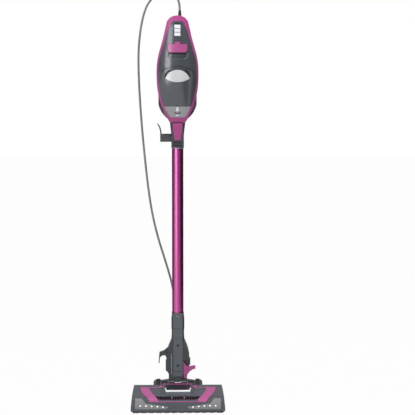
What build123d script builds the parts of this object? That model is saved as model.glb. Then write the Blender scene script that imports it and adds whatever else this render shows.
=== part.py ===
from build123d import *
from math import atan2, cos, pi, radians, sin, tan
import os

os.makedirs("parts", exist_ok=True)

# Upright corded vacuum cleaner, millimetres. +Z up, the floor head's front faces -Y.
# The origin is on the floor, under the middle of the whole machine.

# ---- driving dimensions -------------------------------------------------------
WALL = 2.5              # moulded shells
FIT = 0.05              # radial clearance of a shaft in its bore
GAP = 0.3               # clearance between bodies that move past each other

WAND_Y = 22.5           # wand axis, behind the origin

# floor head
HEAD_W = 277.0
HEAD_FRONT = -112.5
HEAD_REAR = 4.0
DECK_Z = 64.5           # highest line of the deck, at its rear
NOSE_Z = 46.0           # where the rounded nose meets the deck
NOSE_RUN = 26.0         # depth of the rounded nose
LIP_Z = 3.0             # underside of the shell above the floor
HEAD_CORNER = 4.0
BASE_T = 3.0
SHELL_TAPER = 4.5       # how much narrower each side is at the deck
SKIN = 0.8              # thickness of trims laid on a shell
HUMP_FRONT = -62.0      # raised middle of the deck, in front of the neck
HUMP_REAR = -8.0
HUMP_LOW = 57.5
HUMP_TOP = 69.0
HUMP_HALF = 49.0
HUMP_TOP_HALF = 43.0

# brush roll
BRUSH_R = 20.0
CORE_R = 12.5
BRUSH_END = 34.5        # room at each end of the roll for its bearing and the belt
BRUSH_LEN = HEAD_W - 2 * BRUSH_END
BRUSH_Y = -75.5
BRUSH_Z = 20.4
ROWS = 4
TUFTS = 13
TUFT_T = 3.0
TUFT_TWIST = 100.0
STUB_R = 4.0
STUB_LEN = 12.0
BEARING_R = 9.0
BEARING_LEN = 6.0
BELT_W = 6.0
BELT_T = 1.5
PULLEY_R = 9.0
PINION_R = 4.5
PINION_LEN = 9.0
MOTOR_R = 15.0
MOTOR_LEN = 62.0
MOTOR_Y = -27.0
MOTOR_Z = 29.0

# rear wheels and the tilt axis
WHEEL_R = 38.0
TYRE_W = 12.0
TYRE_T = 5.0
HUB_W = 9.0
WHEEL_X = 53.0          # inner face of the tyre
AXLE_Y = 28.0
AXLE_R = 4.0
BLOCK_IN = 31.0
BLOCK_W = 20.0
BLOCK_TOP = 73.0
BARREL_R = 11.0

# swivel and neck
SWIVEL_Z = 74.0
SWIVEL_R = 4.0
DOME_R = 13.0
CLEVIS_T = 4.5
SHOULDER_HALF = 28.0     # the yoke's front plate hides the hinge behind it
SHOULDER_TOP = SWIVEL_Z - 3
NECK_D = 34.0           # front to back
NECK_HALF = 27.6        # lower half width
NECK_BULGE = 36.0
NECK_TOP_HALF = 19.5
NECK_WAIST_HALF = 18.6
CAP_BOTTOM = SWIVEL_Z + 27
CAP_H = 39.0
CAP_TOP = CAP_BOTTOM + CAP_H
FLARE_Z = CAP_TOP + 26
FLARE_H = 39.0          # from the start of the flare to the waist
WAIST_BOTTOM = FLARE_Z + FLARE_H
WAIST_H = 28.0
WAIST_TOP = WAIST_BOTTOM + WAIST_H
EAR_H = 32.0
EAR_TOP = WAIST_TOP + EAR_H
NECK_TOP = EAR_TOP + 15
PLATE_HALF = 14.0
PLATE_T = 3.0
SCREW_R = 2.2
SCREW_ZS = (FLARE_Z + 16, CAP_BOTTOM + 19)
BORE_R = 13.5           # air duct

# wand and collar
TUBE_R = 17.2
TUBE_WALL = 1.2
TUBE_SHOWN = 494.0      # length of tube between the neck and the collar
TUBE_TOP = NECK_TOP + TUBE_SHOWN
SOCKET_DEPTH = 75.0     # how far the tube sits in the neck
COLLAR_R = 18.8
COLLAR_H = 78.0
COLLAR_TOP = TUBE_TOP + COLLAR_H
SPIGOT_R = 15.2
BUTTON_TOP = COLLAR_TOP - 3
BUTTON_H = 51.0
BUTTON_BOTTOM = BUTTON_TOP - BUTTON_H
BUTTON_HALF = 14.5
BUTTON_LOW_HALF = 9.0
BUTTON_T = 4.0
BUTTON_TRAVEL = 2.0
RIDGE_TOP = BUTTON_BOTTOM - 3
RIDGE_BOTTOM = TUBE_TOP + 5
RIDGES = 4
HOOK_Z = TUBE_TOP + 31
HOOK_R = 12.4
HOOK_X = -52.0

# hand unit
UNIT_BOTTOM = COLLAR_TOP - 1
HOUSING_REAR = 62.0
GRIP_REAR = 74.0
LOOP_FRONT = 14.0
LOOP_REAR = 46.0
GRIP_W = 34.0
CUP_BOTTOM = UNIT_BOTTOM + 9
CUP_H = 125.0
CUP_TOP = CUP_BOTTOM + CUP_H
CUP_REAR = 90.0
CUP_FRONT = 20.0
CUP_HALF = 58.0
BAY_H = 81.0            # motor bay, between the dust cup and the handle's loop
LOOP_BOTTOM = CUP_TOP + BAY_H
LOOP_H = 76.0           # clear height for the hand
LOOP_TOP = LOOP_BOTTOM + LOOP_H
BRIDGE_T = 24.5         # top of the loop
UNIT_TOP = LOOP_TOP + BRIDGE_T
MOTOR_CAN_R = 31.0
MOTOR_CAN_TOP = LOOP_BOTTOM - 16
FAN_R = 28.0
FAN_LOW = CUP_TOP + 6
FAN_H = 9.0
BLADES = 9
SHAFT_R = 3.0
MOTOR_AXIS_Y = 31.0
BADGE_Z = CUP_TOP + 2
BADGE_HALF = 36.0
BADGE_RISE = 18.0
SWITCH_Z = LOOP_TOP - 20.5
SWITCH_HALF = 9.0
SWITCH_H = 34.0
SWITCH_TRAVEL = 5.0
LATCH_TOP = LOOP_BOTTOM + 15
LATCH_H = 25.0
LATCH_BOTTOM = LATCH_TOP - LATCH_H
LATCH_HALF = 29.5
LATCH_ROOM = 1.0        # room round the latch, for its swing
LATCH_PIN_R = 1.2
LATCH_PIN_Y = -20.5
RECESS_BOTTOM = LATCH_BOTTOM - 19

# cord
CORD_D = 6.5
RELIEF_LEN = 27.5
RELIEF_X = 7.0
COIL_Y = 205.0
COIL_IN_R = 30.0
COIL_OUT_R = 64.0
COIL_H = 33.0
TIE_W = 8.0
TIE_T = 1.4
CORD_ROUTE = [
    (7.0, 84.5, 1188.0),
    (7.0, 84.5, 1214.0),
    (-8.0, 85.5, 1235.0),
    (-34.0, 87.5, 1243.0),
    (-64.0, 90.0, 1236.0),
    (-88.0, 91.0, 1213.0),
    (-103.0, 92.0, 1176.0),
    (-113.0, 92.0, 1125.0),
    (-118.5, 92.0, 1065.0),
    (-118.0, 92.0, 995.0),
    (-114.0, 92.5, 915.0),
    (-108.0, 93.0, 830.0),
    (-100.0, 94.0, 745.0),
    (-91.0, 95.0, 660.0),
    (-79.0, 96.0, 577.0),
    (-61.0, 97.0, 500.0),
    (-38.0, 98.5, 428.0),
    (-17.0, 100.0, 356.0),
    (-5.0, 101.5, 282.0),
    (-1.0, 103.0, 210.0),
    (-1.0, 104.0, 155.0),
    (-5.0, 106.0, 108.0),
    (-17.0, 113.0, 67.0),
    (-36.0, 128.0, 35.0),
    (-53.0, 151.0, 14.0),
    (-60.0, 178.0, 5.5),
]


# ---- shapes -------------------------------------------------------------------
def block(x0, x1, y0, y1, z0, z1):
    return Pos((x0 + x1) / 2, (y0 + y1) / 2, (z0 + z1) / 2) * Box(x1 - x0, y1 - y0, z1 - z0)


def rod_x(radius, x0, x1, y, z):
    return Pos((x0 + x1) / 2, y, z) * Rot(0, 90, 0) * Cylinder(radius, x1 - x0)


def rod_y(radius, x, y0, y1, z):
    return Pos(x, (y0 + y1) / 2, z) * Rot(90, 0, 0) * Cylinder(radius, y1 - y0)


def rod_z(radius, x, y, z0, z1):
    return Pos(x, y, (z0 + z1) / 2) * Cylinder(radius, z1 - z0)


def along_x(face, x0, x1):
    """A face drawn as (y, z), made into a bar from x0 to x1."""
    plane = Plane(origin=(x0, 0, 0), x_dir=(0, 1, 0), z_dir=(1, 0, 0))
    return extrude(plane * face, amount=x1 - x0)


def along_y(face, y0, y1):
    """A face drawn as (x, z), made into a bar from y0 to y1."""
    plane = Plane(origin=(0, y1, 0), x_dir=(1, 0, 0), z_dir=(0, -1, 0))
    return extrude(plane * face, amount=y1 - y0)


def along_z(face, z0, z1):
    """A face drawn as (x, y), made into a bar from z0 to z1."""
    return extrude(Plane.XY.offset(z0) * face, amount=z1 - z0)


def outline(points):
    return make_face(Polyline(*points, close=True))


def both_sides(solid):
    return [solid, mirror(solid, about=Plane.YZ)]


def save(name, solids):
    """Write one node. A list becomes a group of separate solids."""
    shape = solids if not isinstance(solids, list) else Compound(children=flat(solids))
    export_step(shape, f"parts/{name}.step")


def flat(solids):
    return [one for item in solids for one in item.solids()]


# ---- floor head ---------------------------------------------------------------
def hood_face(inset):
    """Side outline of the hood, drawn as (y, z), moved inwards by inset."""
    front = HEAD_FRONT + inset
    rear = HEAD_REAR - inset
    nose_y = HEAD_FRONT + NOSE_RUN
    bow = 0.35 * NOSE_RUN
    lines = [
        Line((rear, LIP_Z), (front + 2, LIP_Z)),
        Line((front + 2, LIP_Z), (front, LIP_Z + 5)),
        ThreePointArc((front, LIP_Z + 5), (HEAD_FRONT + bow * 0.75 + inset, NOSE_Z * 0.66 - inset * 0.4),
                      (nose_y, NOSE_Z - inset)),
        Line((nose_y, NOSE_Z - inset), (rear - 10, DECK_Z - inset)),
        Line((rear - 10, DECK_Z - inset), (rear, DECK_Z - 10 - inset)),
        Line((rear, DECK_Z - 10 - inset), (rear, LIP_Z)),
    ]
    return make_face(Curve() + lines)


def head_front_face(inset):
    """Front outline of the hood, drawn as (x, z)."""
    half = HEAD_W / 2 - inset
    top = DECK_Z + 5
    shoulder = NOSE_Z + 2
    corner = HEAD_CORNER
    points = [
        (-half, LIP_Z), (half, LIP_Z), (half, 16),
        (half - SHELL_TAPER * 0.7, shoulder), (half - SHELL_TAPER - corner, top - inset),
        (-half + SHELL_TAPER + corner, top - inset), (-half + SHELL_TAPER * 0.7, shoulder), (-half, 16),
    ]
    return outline(points)


def deck_hump(inset):
    """Raised middle of the deck."""
    step = 3.5
    side = outline([
        (HUMP_FRONT + inset, DUCT_TOP), (HUMP_FRONT + inset, HUMP_LOW - 2 * step - inset),
        (HUMP_FRONT + step + inset, HUMP_LOW - inset), (HUMP_REAR - step - inset, HUMP_TOP - inset),
        (HUMP_REAR - inset, HUMP_TOP - step - inset), (HUMP_REAR - inset, DUCT_TOP),
    ])
    front = outline([
        (-HUMP_HALF + inset, DUCT_TOP), (HUMP_HALF - inset, DUCT_TOP),
        (HUMP_TOP_HALF - inset, DECK_REACH), (-HUMP_TOP_HALF + inset, DECK_REACH),
    ])
    return along_x(side, -HUMP_HALF - step, HUMP_HALF + step) & along_y(front, HUMP_FRONT - step, HUMP_REAR + step)


def hood_blank(inset):
    half = HEAD_W / 2
    hood = along_x(hood_face(inset), -half, half)
    hood &= along_y(head_front_face(inset), HEAD_FRONT - 5, HEAD_REAR + 5)
    return hood + deck_hump(inset)


DECK_REACH = HUMP_TOP + 5
DUCT_HALF = 22.0
DUCT_TOP = 44.0
HEAD_OUTER = hood_blank(0)
HEAD_INNER = hood_blank(WALL)
CHAMBER_X = BRUSH_LEN / 2 + 3
CHAMBER_REAR = BRUSH_Y + BRUSH_R + 6
WINDOW_HALF = 70.0
WINDOW_REAR_HALF = 60.0
WINDOW_Y0 = HEAD_FRONT + 9
WINDOW_Y1 = HEAD_FRONT + 27
LENS_Z0 = 13.0
LENS_Z1 = 42.0
LENS_IN = 28.0
LENS_OUT = HEAD_W / 2 - 12.5
LAMPS = 5
LAMP_IN = 44.0
LAMP_PITCH = (LENS_OUT - 15.6 - LAMP_IN) / (LAMPS - 1)
LAMP_Z = 22.0


def window_prism(grow):
    points = [
        (-WINDOW_HALF - grow, WINDOW_Y1 + grow), (-WINDOW_HALF * 0.72 - grow, WINDOW_Y0 - grow),
        (WINDOW_HALF * 0.72 + grow, WINDOW_Y0 - grow), (WINDOW_HALF + grow, WINDOW_Y1 + grow),
    ]
    return along_z(outline(points), LENS_Z1 - 4, DECK_REACH)


def lens_prism(grow):
    points = [
        (-LENS_OUT - grow, LENS_Z0 - grow), (-LENS_IN - 10, LENS_Z0 - grow), (-LENS_IN + grow, LENS_Z0 + 4),
        (-LENS_IN + grow, LENS_Z0 + 7), (-LENS_OUT + 31, LENS_Z0 + 16 + grow), (-LENS_OUT + 26, LENS_Z0 + 22 + grow),
        (-LENS_OUT + 19 + grow, LENS_Z1 + grow), (-LENS_OUT - grow, LENS_Z1 + grow),
    ]
    return both_sides(along_y(outline(points), HEAD_FRONT - 2, HEAD_FRONT + NOSE_RUN))


def top_shell():
    shell = HEAD_OUTER - HEAD_INNER
    shell -= block(-HEAD_W, HEAD_W, HEAD_FRONT - 1, HEAD_REAR + 5, 0, LIP_Z + BASE_T + GAP)
    shell -= window_prism(0)
    for lens in lens_prism(0):
        shell -= lens
    for well in rear_wells():
        shell -= well
    return shell


def skin_on(prism):
    """A thin trim that lies on the hood inside the given prism."""
    return (hood_blank(-SKIN) & prism) - HEAD_OUTER


WELL_GAP = 1.5
YOKE_NOTCH = 30.0       # half width of the notch at the rear of the head
NOTCH_Y = -8.0


def rear_wells():
    """Room for the wheels and the yoke at the rear of the head."""
    tyre_out = WHEEL_X + TYRE_W + HUB_W + WELL_GAP
    well = rod_x(WHEEL_R + WELL_GAP, WHEEL_X - WELL_GAP, tyre_out, AXLE_Y, WHEEL_R)
    notch = block(-YOKE_NOTCH, YOKE_NOTCH, NOTCH_Y, HEAD_REAR + 1, 0, DECK_REACH)
    return both_sides(well) + [notch]


def base_plate():
    """Floor of the head, with the brush opening, the duct and the brush end walls."""
    half = HEAD_W / 2 - WALL - GAP
    plate = block(-half, half, HEAD_FRONT + 6, HEAD_REAR, LIP_Z, LIP_Z + BASE_T)
    plate -= block(-CHAMBER_X, CHAMBER_X, HEAD_FRONT + 9, CHAMBER_REAR, 0, 20)
    wall_top = NOSE_Z - WALL - 4
    for side in (-1, 1):
        x = side * CHAMBER_X
        wall = block(min(x, x + side * WALL), max(x, x + side * WALL), HEAD_FRONT + 18, CHAMBER_REAR,
                     LIP_Z, wall_top - 3)
        plate += wall
        plate -= rod_x(BEARING_R + GAP, x - 9, x + 9, BRUSH_Y, BRUSH_Z)
    plate += block(-CHAMBER_X - WALL, CHAMBER_X + WALL, CHAMBER_REAR, CHAMBER_REAR + WALL, LIP_Z, wall_top)
    plate -= block(-DUCT_HALF + WALL, DUCT_HALF - WALL, CHAMBER_REAR - 1, CHAMBER_REAR + WALL + 1,
                   LIP_Z + BASE_T, DUCT_TOP - WALL)
    duct = block(-DUCT_HALF, DUCT_HALF, CHAMBER_REAR + WALL, HEAD_REAR, LIP_Z, DUCT_TOP)
    duct -= block(-DUCT_HALF + WALL, DUCT_HALF - WALL, CHAMBER_REAR, HEAD_REAR + 1,
                  LIP_Z + BASE_T, DUCT_TOP - WALL)
    plate += duct
    for well in rear_wells():
        plate -= well
    return plate


FOOT_R = 5.0
FOOT_X = HEAD_W / 2 - 17.5
NOTCHES = 11
NOTCH_W = 7.0


def front_feet():
    feet = rod_z(FOOT_R, FOOT_X, HEAD_FRONT + 12, 0, LIP_Z)
    return both_sides(feet)


def bumper_strip():
    """Strip under the nose, with notches that let crumbs pass."""
    half = HEAD_W / 2 - 6
    strip = block(-half, half, HEAD_FRONT + 2.2, HEAD_FRONT + 5.8, 1.2, LIP_Z + 3)
    strip -= block(-half - 1, half + 1, HEAD_FRONT, HEAD_FRONT + 9, LIP_Z, LIP_Z + 9)
    pitch = 2 * half / (NOTCHES + 1)
    for i in range(NOTCHES):
        x = -half + pitch * (i + 1)
        strip -= block(x - NOTCH_W / 2, x + NOTCH_W / 2, HEAD_FRONT, HEAD_FRONT + 9, 0, 2.2)
    return strip


TRIM_REAR = HEAD_REAR - 31
TRIM_LOW = HEAD_FRONT + 8
TRIM_TOP_X = 112.5
TRIM_LOW_X = 83.0
TRIM_W = 26.0
TRIM_LINE = 4.0


def trim_band():
    """Coloured band: a rim behind the deck and one sweeping leg at each side of the window."""
    middle = (TRIM_REAR + TRIM_LOW) / 2
    leg = along_z(make_face(Curve() + [
        ThreePointArc((-TRIM_TOP_X, TRIM_REAR), (-TRIM_TOP_X + 8, middle), (-TRIM_LOW_X, TRIM_LOW)),
        Line((-TRIM_LOW_X, TRIM_LOW), (-TRIM_LOW_X + TRIM_W, TRIM_LOW)),
        ThreePointArc((-TRIM_LOW_X + TRIM_W, TRIM_LOW), (-TRIM_TOP_X + TRIM_W + 10, middle),
                      (-TRIM_TOP_X + TRIM_W, TRIM_REAR)),
        Line((-TRIM_TOP_X + TRIM_W, TRIM_REAR), (-TRIM_TOP_X, TRIM_REAR)),
    ]), LENS_Z0, DECK_REACH)
    rim = block(-TRIM_TOP_X, TRIM_TOP_X, TRIM_REAR, TRIM_REAR + TRIM_LINE, LENS_Z0, DECK_REACH)
    rise = block(-HUMP_HALF - 5, HUMP_HALF + 5, TRIM_REAR, HUMP_REAR - 5, LENS_Z0, DECK_REACH)
    rise -= block(-HUMP_HALF + 4, HUMP_HALF - 4, TRIM_REAR - 1, HUMP_REAR - 9, LENS_Z0, DECK_REACH)
    lip = block(-TRIM_LOW_X + 9, TRIM_LOW_X - 9, TRIM_LOW, TRIM_LOW + TRIM_LINE / 4, LENS_Z0, DECK_REACH)
    prism = rim - block(-HUMP_HALF + 4, HUMP_HALF - 4, TRIM_REAR - 1, HUMP_REAR, LENS_Z0, DECK_REACH) + rise + lip
    for one in both_sides(leg):
        prism += one
    return skin_on(prism)


BADGE_REAR = HUMP_REAR - 11
BADGE_ARM = 20.0        # how far back the bright surround reaches
BADGE_RIM = 3.6


def badge_points(grow):
    front = HUMP_FRONT + 5 - grow
    return [
        (-HUMP_TOP_HALF + 4 - grow, BADGE_REAR), (-HUMP_TOP_HALF + 9 - grow * 0.7, front),
        (HUMP_TOP_HALF - 9 + grow * 0.7, front), (HUMP_TOP_HALF - 4 + grow, BADGE_REAR),
    ]


def badge_panel():
    """Plain dark plate on the raised part of the deck."""
    return skin_on(along_z(outline(badge_points(0)), DUCT_TOP, DECK_REACH))


def badge_rim():
    """Bright U-shaped surround of the badge plate."""
    rim = along_z(outline(badge_points(BADGE_RIM)), DUCT_TOP, DECK_REACH) - along_z(outline(badge_points(0)), DUCT_TOP, DECK_REACH)
    return skin_on(rim & block(-HUMP_HALF, HUMP_HALF, HUMP_FRONT - 5, HUMP_FRONT + BADGE_ARM, DUCT_TOP, DECK_REACH))


def brush_window():
    """Clear window over the brush roll, flush with the shell."""
    return (HEAD_OUTER - HEAD_INNER) & window_prism(-0.2)


def lamp_lenses():
    ring = HEAD_OUTER - HEAD_INNER
    return [ring & lens for lens in lens_prism(-0.2)]


def lamps():
    """Small lamps on a strip behind each lens."""
    strip = block(-LENS_OUT + 6, -LAMP_IN + 4, HEAD_FRONT + 13.6, HEAD_FRONT + 15.2, LAMP_Z - 5, LAMP_Z + 5)
    for i in range(LAMPS):
        strip += rod_y(3, -LAMP_IN - LAMP_PITCH * i, HEAD_FRONT + 8.2, HEAD_FRONT + 14, LAMP_Z)
    strip += block(-LENS_OUT + 10, -LENS_OUT + 14, HEAD_FRONT + 13.6, HEAD_FRONT + 15.2, LIP_Z + BASE_T, LAMP_Z)
    strip += block(-LAMP_IN - 4, -LAMP_IN, HEAD_FRONT + 13.6, HEAD_FRONT + 15.2, LIP_Z + BASE_T, LAMP_Z)
    return both_sides(strip)


def brush_core():
    core = rod_x(CORE_R, -BRUSH_LEN / 2, BRUSH_LEN / 2, BRUSH_Y, BRUSH_Z)
    end = BRUSH_LEN / 2 + STUB_LEN
    core += rod_x(STUB_R, -end, end, BRUSH_Y, BRUSH_Z)
    core += rod_x(PULLEY_R, -end - BELT_W - 1, -end, BRUSH_Y, BRUSH_Z)
    return core


def bristles():
    """Tufts in rows that wind around the core."""
    tufts = []
    core = rod_x(CORE_R, -BRUSH_LEN, BRUSH_LEN, 0, 0)
    pitch = BRUSH_LEN / TUFTS
    one = block(-pitch * 0.4, pitch * 0.4, -TUFT_T / 2, TUFT_T / 2, CORE_R - 1, BRUSH_R) - core
    for row in range(ROWS):
        for i in range(TUFTS):
            turn = 360 / ROWS * row + TUFT_TWIST * abs(i / (TUFTS - 1) - 0.5) * 2
            x = -BRUSH_LEN / 2 + pitch * (i + 0.5)
            tufts.append(Pos(x, BRUSH_Y, BRUSH_Z) * Rot(turn, 0, 0) * one)
    return tufts


def brush_bearings():
    """Bearing blocks that carry the roll's stub shafts in the chamber's end walls."""
    x = BRUSH_LEN / 2 + 1.5
    bearing = rod_x(BEARING_R, x, x + BEARING_LEN, BRUSH_Y, BRUSH_Z)
    bearing -= rod_x(STUB_R + FIT, x - 1, x + BEARING_LEN + 1, BRUSH_Y, BRUSH_Z)
    return both_sides(bearing)


BELT_X = -(BRUSH_LEN / 2 + STUB_LEN + BELT_W / 2 + 0.5)


def loop_face(r_front, r_rear):
    """Belt outline around the two pulleys, drawn as (y, z)."""
    front = Pos(BRUSH_Y, BRUSH_Z) * Circle(r_front)
    rear = Pos(MOTOR_Y, MOTOR_Z) * Circle(r_rear)
    run = atan2(MOTOR_Z - BRUSH_Z, MOTOR_Y - BRUSH_Y)
    up = (-sin(run), cos(run))
    corners = []
    for y, z, r in ((BRUSH_Y, BRUSH_Z, r_front), (MOTOR_Y, MOTOR_Z, r_rear)):
        corners.append(((y + up[0] * r, z + up[1] * r), (y - up[0] * r, z - up[1] * r)))
    web = outline([corners[0][0], corners[1][0], corners[1][1], corners[0][1]])
    return front + web + rear


def drive_belt():
    inner = loop_face(PULLEY_R + GAP, PINION_R + GAP)
    outer = loop_face(PULLEY_R + GAP + BELT_T, PINION_R + GAP + BELT_T)
    return along_x(outer - inner, BELT_X - BELT_W / 2, BELT_X + BELT_W / 2)


def motor_pinion():
    x1 = BELT_X + PINION_LEN / 2
    pinion = rod_x(PINION_R, x1 - PINION_LEN, x1, MOTOR_Y, MOTOR_Z)
    return pinion + rod_x(2, x1, x1 + 8, MOTOR_Y, MOTOR_Z)


def brush_motor():
    """Motor that turns the belt, on a cradle that stands on the base plate."""
    x0 = BELT_X + PINION_LEN / 2 + 2
    motor = rod_x(MOTOR_R, x0, x0 + MOTOR_LEN, MOTOR_Y, MOTOR_Z)
    motor += block(x0 + 6, x0 + MOTOR_LEN - 6, MOTOR_Y - 8, MOTOR_Y + 8, LIP_Z + BASE_T, MOTOR_Z)
    motor -= rod_x(2 + FIT, x0 - 1, x0 + 8.5, MOTOR_Y, MOTOR_Z)
    return motor


save("base_plate", base_plate())
save("front_feet", front_feet())
save("bumper_strip", bumper_strip())
save("top_shell", top_shell())
save("trim_band", trim_band())
save("badge_panel", badge_panel())
save("badge_rim", badge_rim())
save("brush_window", brush_window())
save("lamp_lenses", lamp_lenses())
save("lamps", lamps())
save("brush_core", brush_core())
save("bristles", bristles())
save("brush_bearings", brush_bearings())
save("drive_belt", drive_belt())
save("motor_pinion", motor_pinion())
save("brush_motor", brush_motor())


# ---- rear wheels and tilt yoke --------------------------------------------------
TYRE_IN_R = WHEEL_R - TYRE_T
TYRE_OUT_X = WHEEL_X + TYRE_W
HUB_OUT_X = TYRE_OUT_X + HUB_W
BARREL_HALF = BLOCK_IN - GAP
AXLE_IN = 12.0


def tyre():
    ring = rod_x(WHEEL_R, WHEEL_X, TYRE_OUT_X, AXLE_Y, WHEEL_R)
    return ring - rod_x(TYRE_IN_R, WHEEL_X - 1, TYRE_OUT_X + 1, AXLE_Y, WHEEL_R)


def wheel_hub():
    hub = rod_x(TYRE_IN_R, WHEEL_X, TYRE_OUT_X, AXLE_Y, WHEEL_R)
    cap = rod_x(WHEEL_R - 2, TYRE_OUT_X, HUB_OUT_X, AXLE_Y, WHEEL_R)
    rim = cap.edges().filter_by(GeomType.CIRCLE).sort_by(Axis.X)[-1]
    hub += fillet(rim, HUB_W - 1)
    return hub - rod_x(AXLE_R + FIT, WHEEL_X - 1, HUB_OUT_X - 3, AXLE_Y, WHEEL_R)


def wheel_axles():
    """Stub axle at each side: it carries the yoke's barrel, the pivot block and the wheel."""
    return both_sides(rod_x(AXLE_R, AXLE_IN, HUB_OUT_X - 4, AXLE_Y, WHEEL_R))


def pivot_blocks():
    hump = rod_x(BLOCK_TOP - WHEEL_R, BLOCK_IN, BLOCK_IN + BLOCK_W, AXLE_Y, WHEEL_R)
    hump -= block(0, HEAD_W, -HEAD_W, HEAD_REAR, 0, HEAD_W)
    hump -= block(0, HEAD_W, -HEAD_W, HEAD_W, 0, LIP_Z + 3)
    hump -= rod_x(AXLE_R + FIT, 0, HEAD_W, AXLE_Y, WHEEL_R)
    return both_sides(hump)


NECK_FRONT = WAND_Y - NECK_D / 2
NECK_REAR = WAND_Y + NECK_D / 2
NECK_BOTTOM = SWIVEL_Z - 0.5


def tilt_yoke():
    """Barrel on the tilt axis with a clevis plate in front of the neck and one behind it."""
    barrel = rod_x(BARREL_R, -BARREL_HALF, BARREL_HALF, AXLE_Y, WHEEL_R)
    for front in (NECK_FRONT - GAP - CLEVIS_T, NECK_REAR + GAP):
        plate = along_y(outline([(-DOME_R, WHEEL_R), (DOME_R, WHEEL_R), (DOME_R, SWIVEL_Z), (-DOME_R, SWIVEL_Z)]),
                        front, front + CLEVIS_T)
        plate += rod_y(DOME_R, 0, front, front + CLEVIS_T, SWIVEL_Z)
        barrel += plate
    low = NECK_FRONT - GAP - CLEVIS_T
    high = NECK_REAR + GAP + CLEVIS_T
    barrel += block(-DOME_R, DOME_R, low, high, WHEEL_R - 8, WHEEL_R + 4)
    barrel += block(-SHOULDER_HALF, SHOULDER_HALF, low, low + CLEVIS_T, WHEEL_R + BARREL_R, SHOULDER_TOP)
    barrel -= rod_y(SWIVEL_R + FIT, 0, low + 1.2, high + 1, SWIVEL_Z)
    for side in (-1, 1):
        barrel -= rod_x(AXLE_R + FIT, min(side * (AXLE_IN - 1), side * 40), max(side * (AXLE_IN - 1), side * 40),
                        AXLE_Y, WHEEL_R)
    return barrel


def swivel_pin():
    return rod_y(SWIVEL_R, 0, NECK_FRONT - GAP - CLEVIS_T + 1.5, NECK_REAR + GAP + CLEVIS_T - 1, SWIVEL_Z)


# ---- neck ---------------------------------------------------------------------
UPPER_D = 41.0          # front to back, around the wand's end
BLEND_LOW = FLARE_Z - 16
BLEND_HIGH = FLARE_Z + 6
PLATE_IN = 0.2


def neck_side(inset):
    front = WAND_Y - UPPER_D / 2 + inset
    low_front = NECK_FRONT + inset
    rear = WAND_Y + UPPER_D / 2
    return outline([
        (low_front, NECK_BOTTOM), (NECK_REAR, NECK_BOTTOM), (NECK_REAR, BLEND_LOW), (rear, BLEND_HIGH),
        (rear, NECK_TOP), (front, NECK_TOP), (front, BLEND_HIGH), (low_front, BLEND_LOW),
    ])


def neck_front_face():
    """Front outline of the neck, drawn as (x, z)."""
    right = [
        (NECK_HALF, NECK_BOTTOM), (NECK_HALF, CAP_BOTTOM - 6), (NECK_BULGE - 2, CAP_BOTTOM + 4),
        (NECK_BULGE - 2, FLARE_Z - 10), (NECK_BULGE - 6, FLARE_Z + 8), (NECK_TOP_HALF + 2, FLARE_Z + 30),
        (NECK_WAIST_HALF, WAIST_BOTTOM + 6), (NECK_WAIST_HALF, WAIST_TOP - 4),
        (NECK_TOP_HALF, WAIST_TOP + 2), (NECK_TOP_HALF, EAR_TOP), (NECK_TOP_HALF - 1.5, EAR_TOP + 4),
        (NECK_TOP_HALF - 1.5, NECK_TOP),
    ]
    left = [(-x, z) for x, z in reversed(right)]
    return outline(right + left)


NECK_EDGE = 8.0         # corner radius of the upper neck


def neck_blank():
    bar = along_y(neck_front_face(), WAND_Y - UPPER_D, WAND_Y + UPPER_D)
    bar &= along_x(neck_side(0), -60, 60)
    low = block(-60, 60, WAND_Y - UPPER_D, WAND_Y + UPPER_D, NECK_BOTTOM, FLARE_Z + 30)
    column = Pos(0, WAND_Y) * RectangleRounded(2 * NECK_TOP_HALF, UPPER_D, NECK_EDGE)
    return bar & (low + along_z(column, FLARE_Z + 30, NECK_TOP))


NECK_BLANK = neck_blank()


def plate_region(grow):
    """The paler plate let into the front of the neck."""
    front_skin = NECK_BLANK - along_x(neck_side(PLATE_T + grow), -80, 80)
    return front_skin & block(-PLATE_HALF - grow, PLATE_HALF + grow, 0, WAND_Y, CAP_BOTTOM - 14, NECK_TOP + 1)


def neck_screw_holes(radius):
    holes = []
    for z in SCREW_ZS:
        holes.append(rod_y(radius, 0, NECK_FRONT - 9, NECK_FRONT + 12, z))
    return holes


PEDAL_PIN_Z = SWIVEL_Z + 16
PEDAL_SLOT_Z0 = PEDAL_PIN_Z - 10
PEDAL_SLOT_Z1 = PEDAL_PIN_Z + 46


def neck_housing():
    """Moulded neck: socket for the wand above, air duct, swivel pivot below."""
    housing = NECK_BLANK - plate_region(PLATE_IN)
    housing -= rod_z(TUBE_R + FIT, 0, WAND_Y, NECK_TOP - SOCKET_DEPTH, NECK_TOP + 1)
    housing -= rod_z(BORE_R, 0, WAND_Y, CAP_BOTTOM, NECK_TOP)
    housing -= block(-BORE_R, BORE_R, WAND_Y - 8, NECK_REAR + 5, CAP_BOTTOM - 12, CAP_BOTTOM + 16)
    housing -= block(PEDAL_IN - GAP, 60, NECK_FRONT - 5, NECK_FRONT + PEDAL_D + GAP, PEDAL_SLOT_Z0, PEDAL_SLOT_Z1)
    housing -= rod_y(SWIVEL_R + FIT, 0, 0, 60, SWIVEL_Z)
    for hole in neck_screw_holes(SCREW_R * 0.6):
        housing -= hole
    return housing


def neck_front_plate():
    plate = plate_region(0)
    for hole in neck_screw_holes(SCREW_R * 1.7):
        plate -= hole
    return plate


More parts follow.
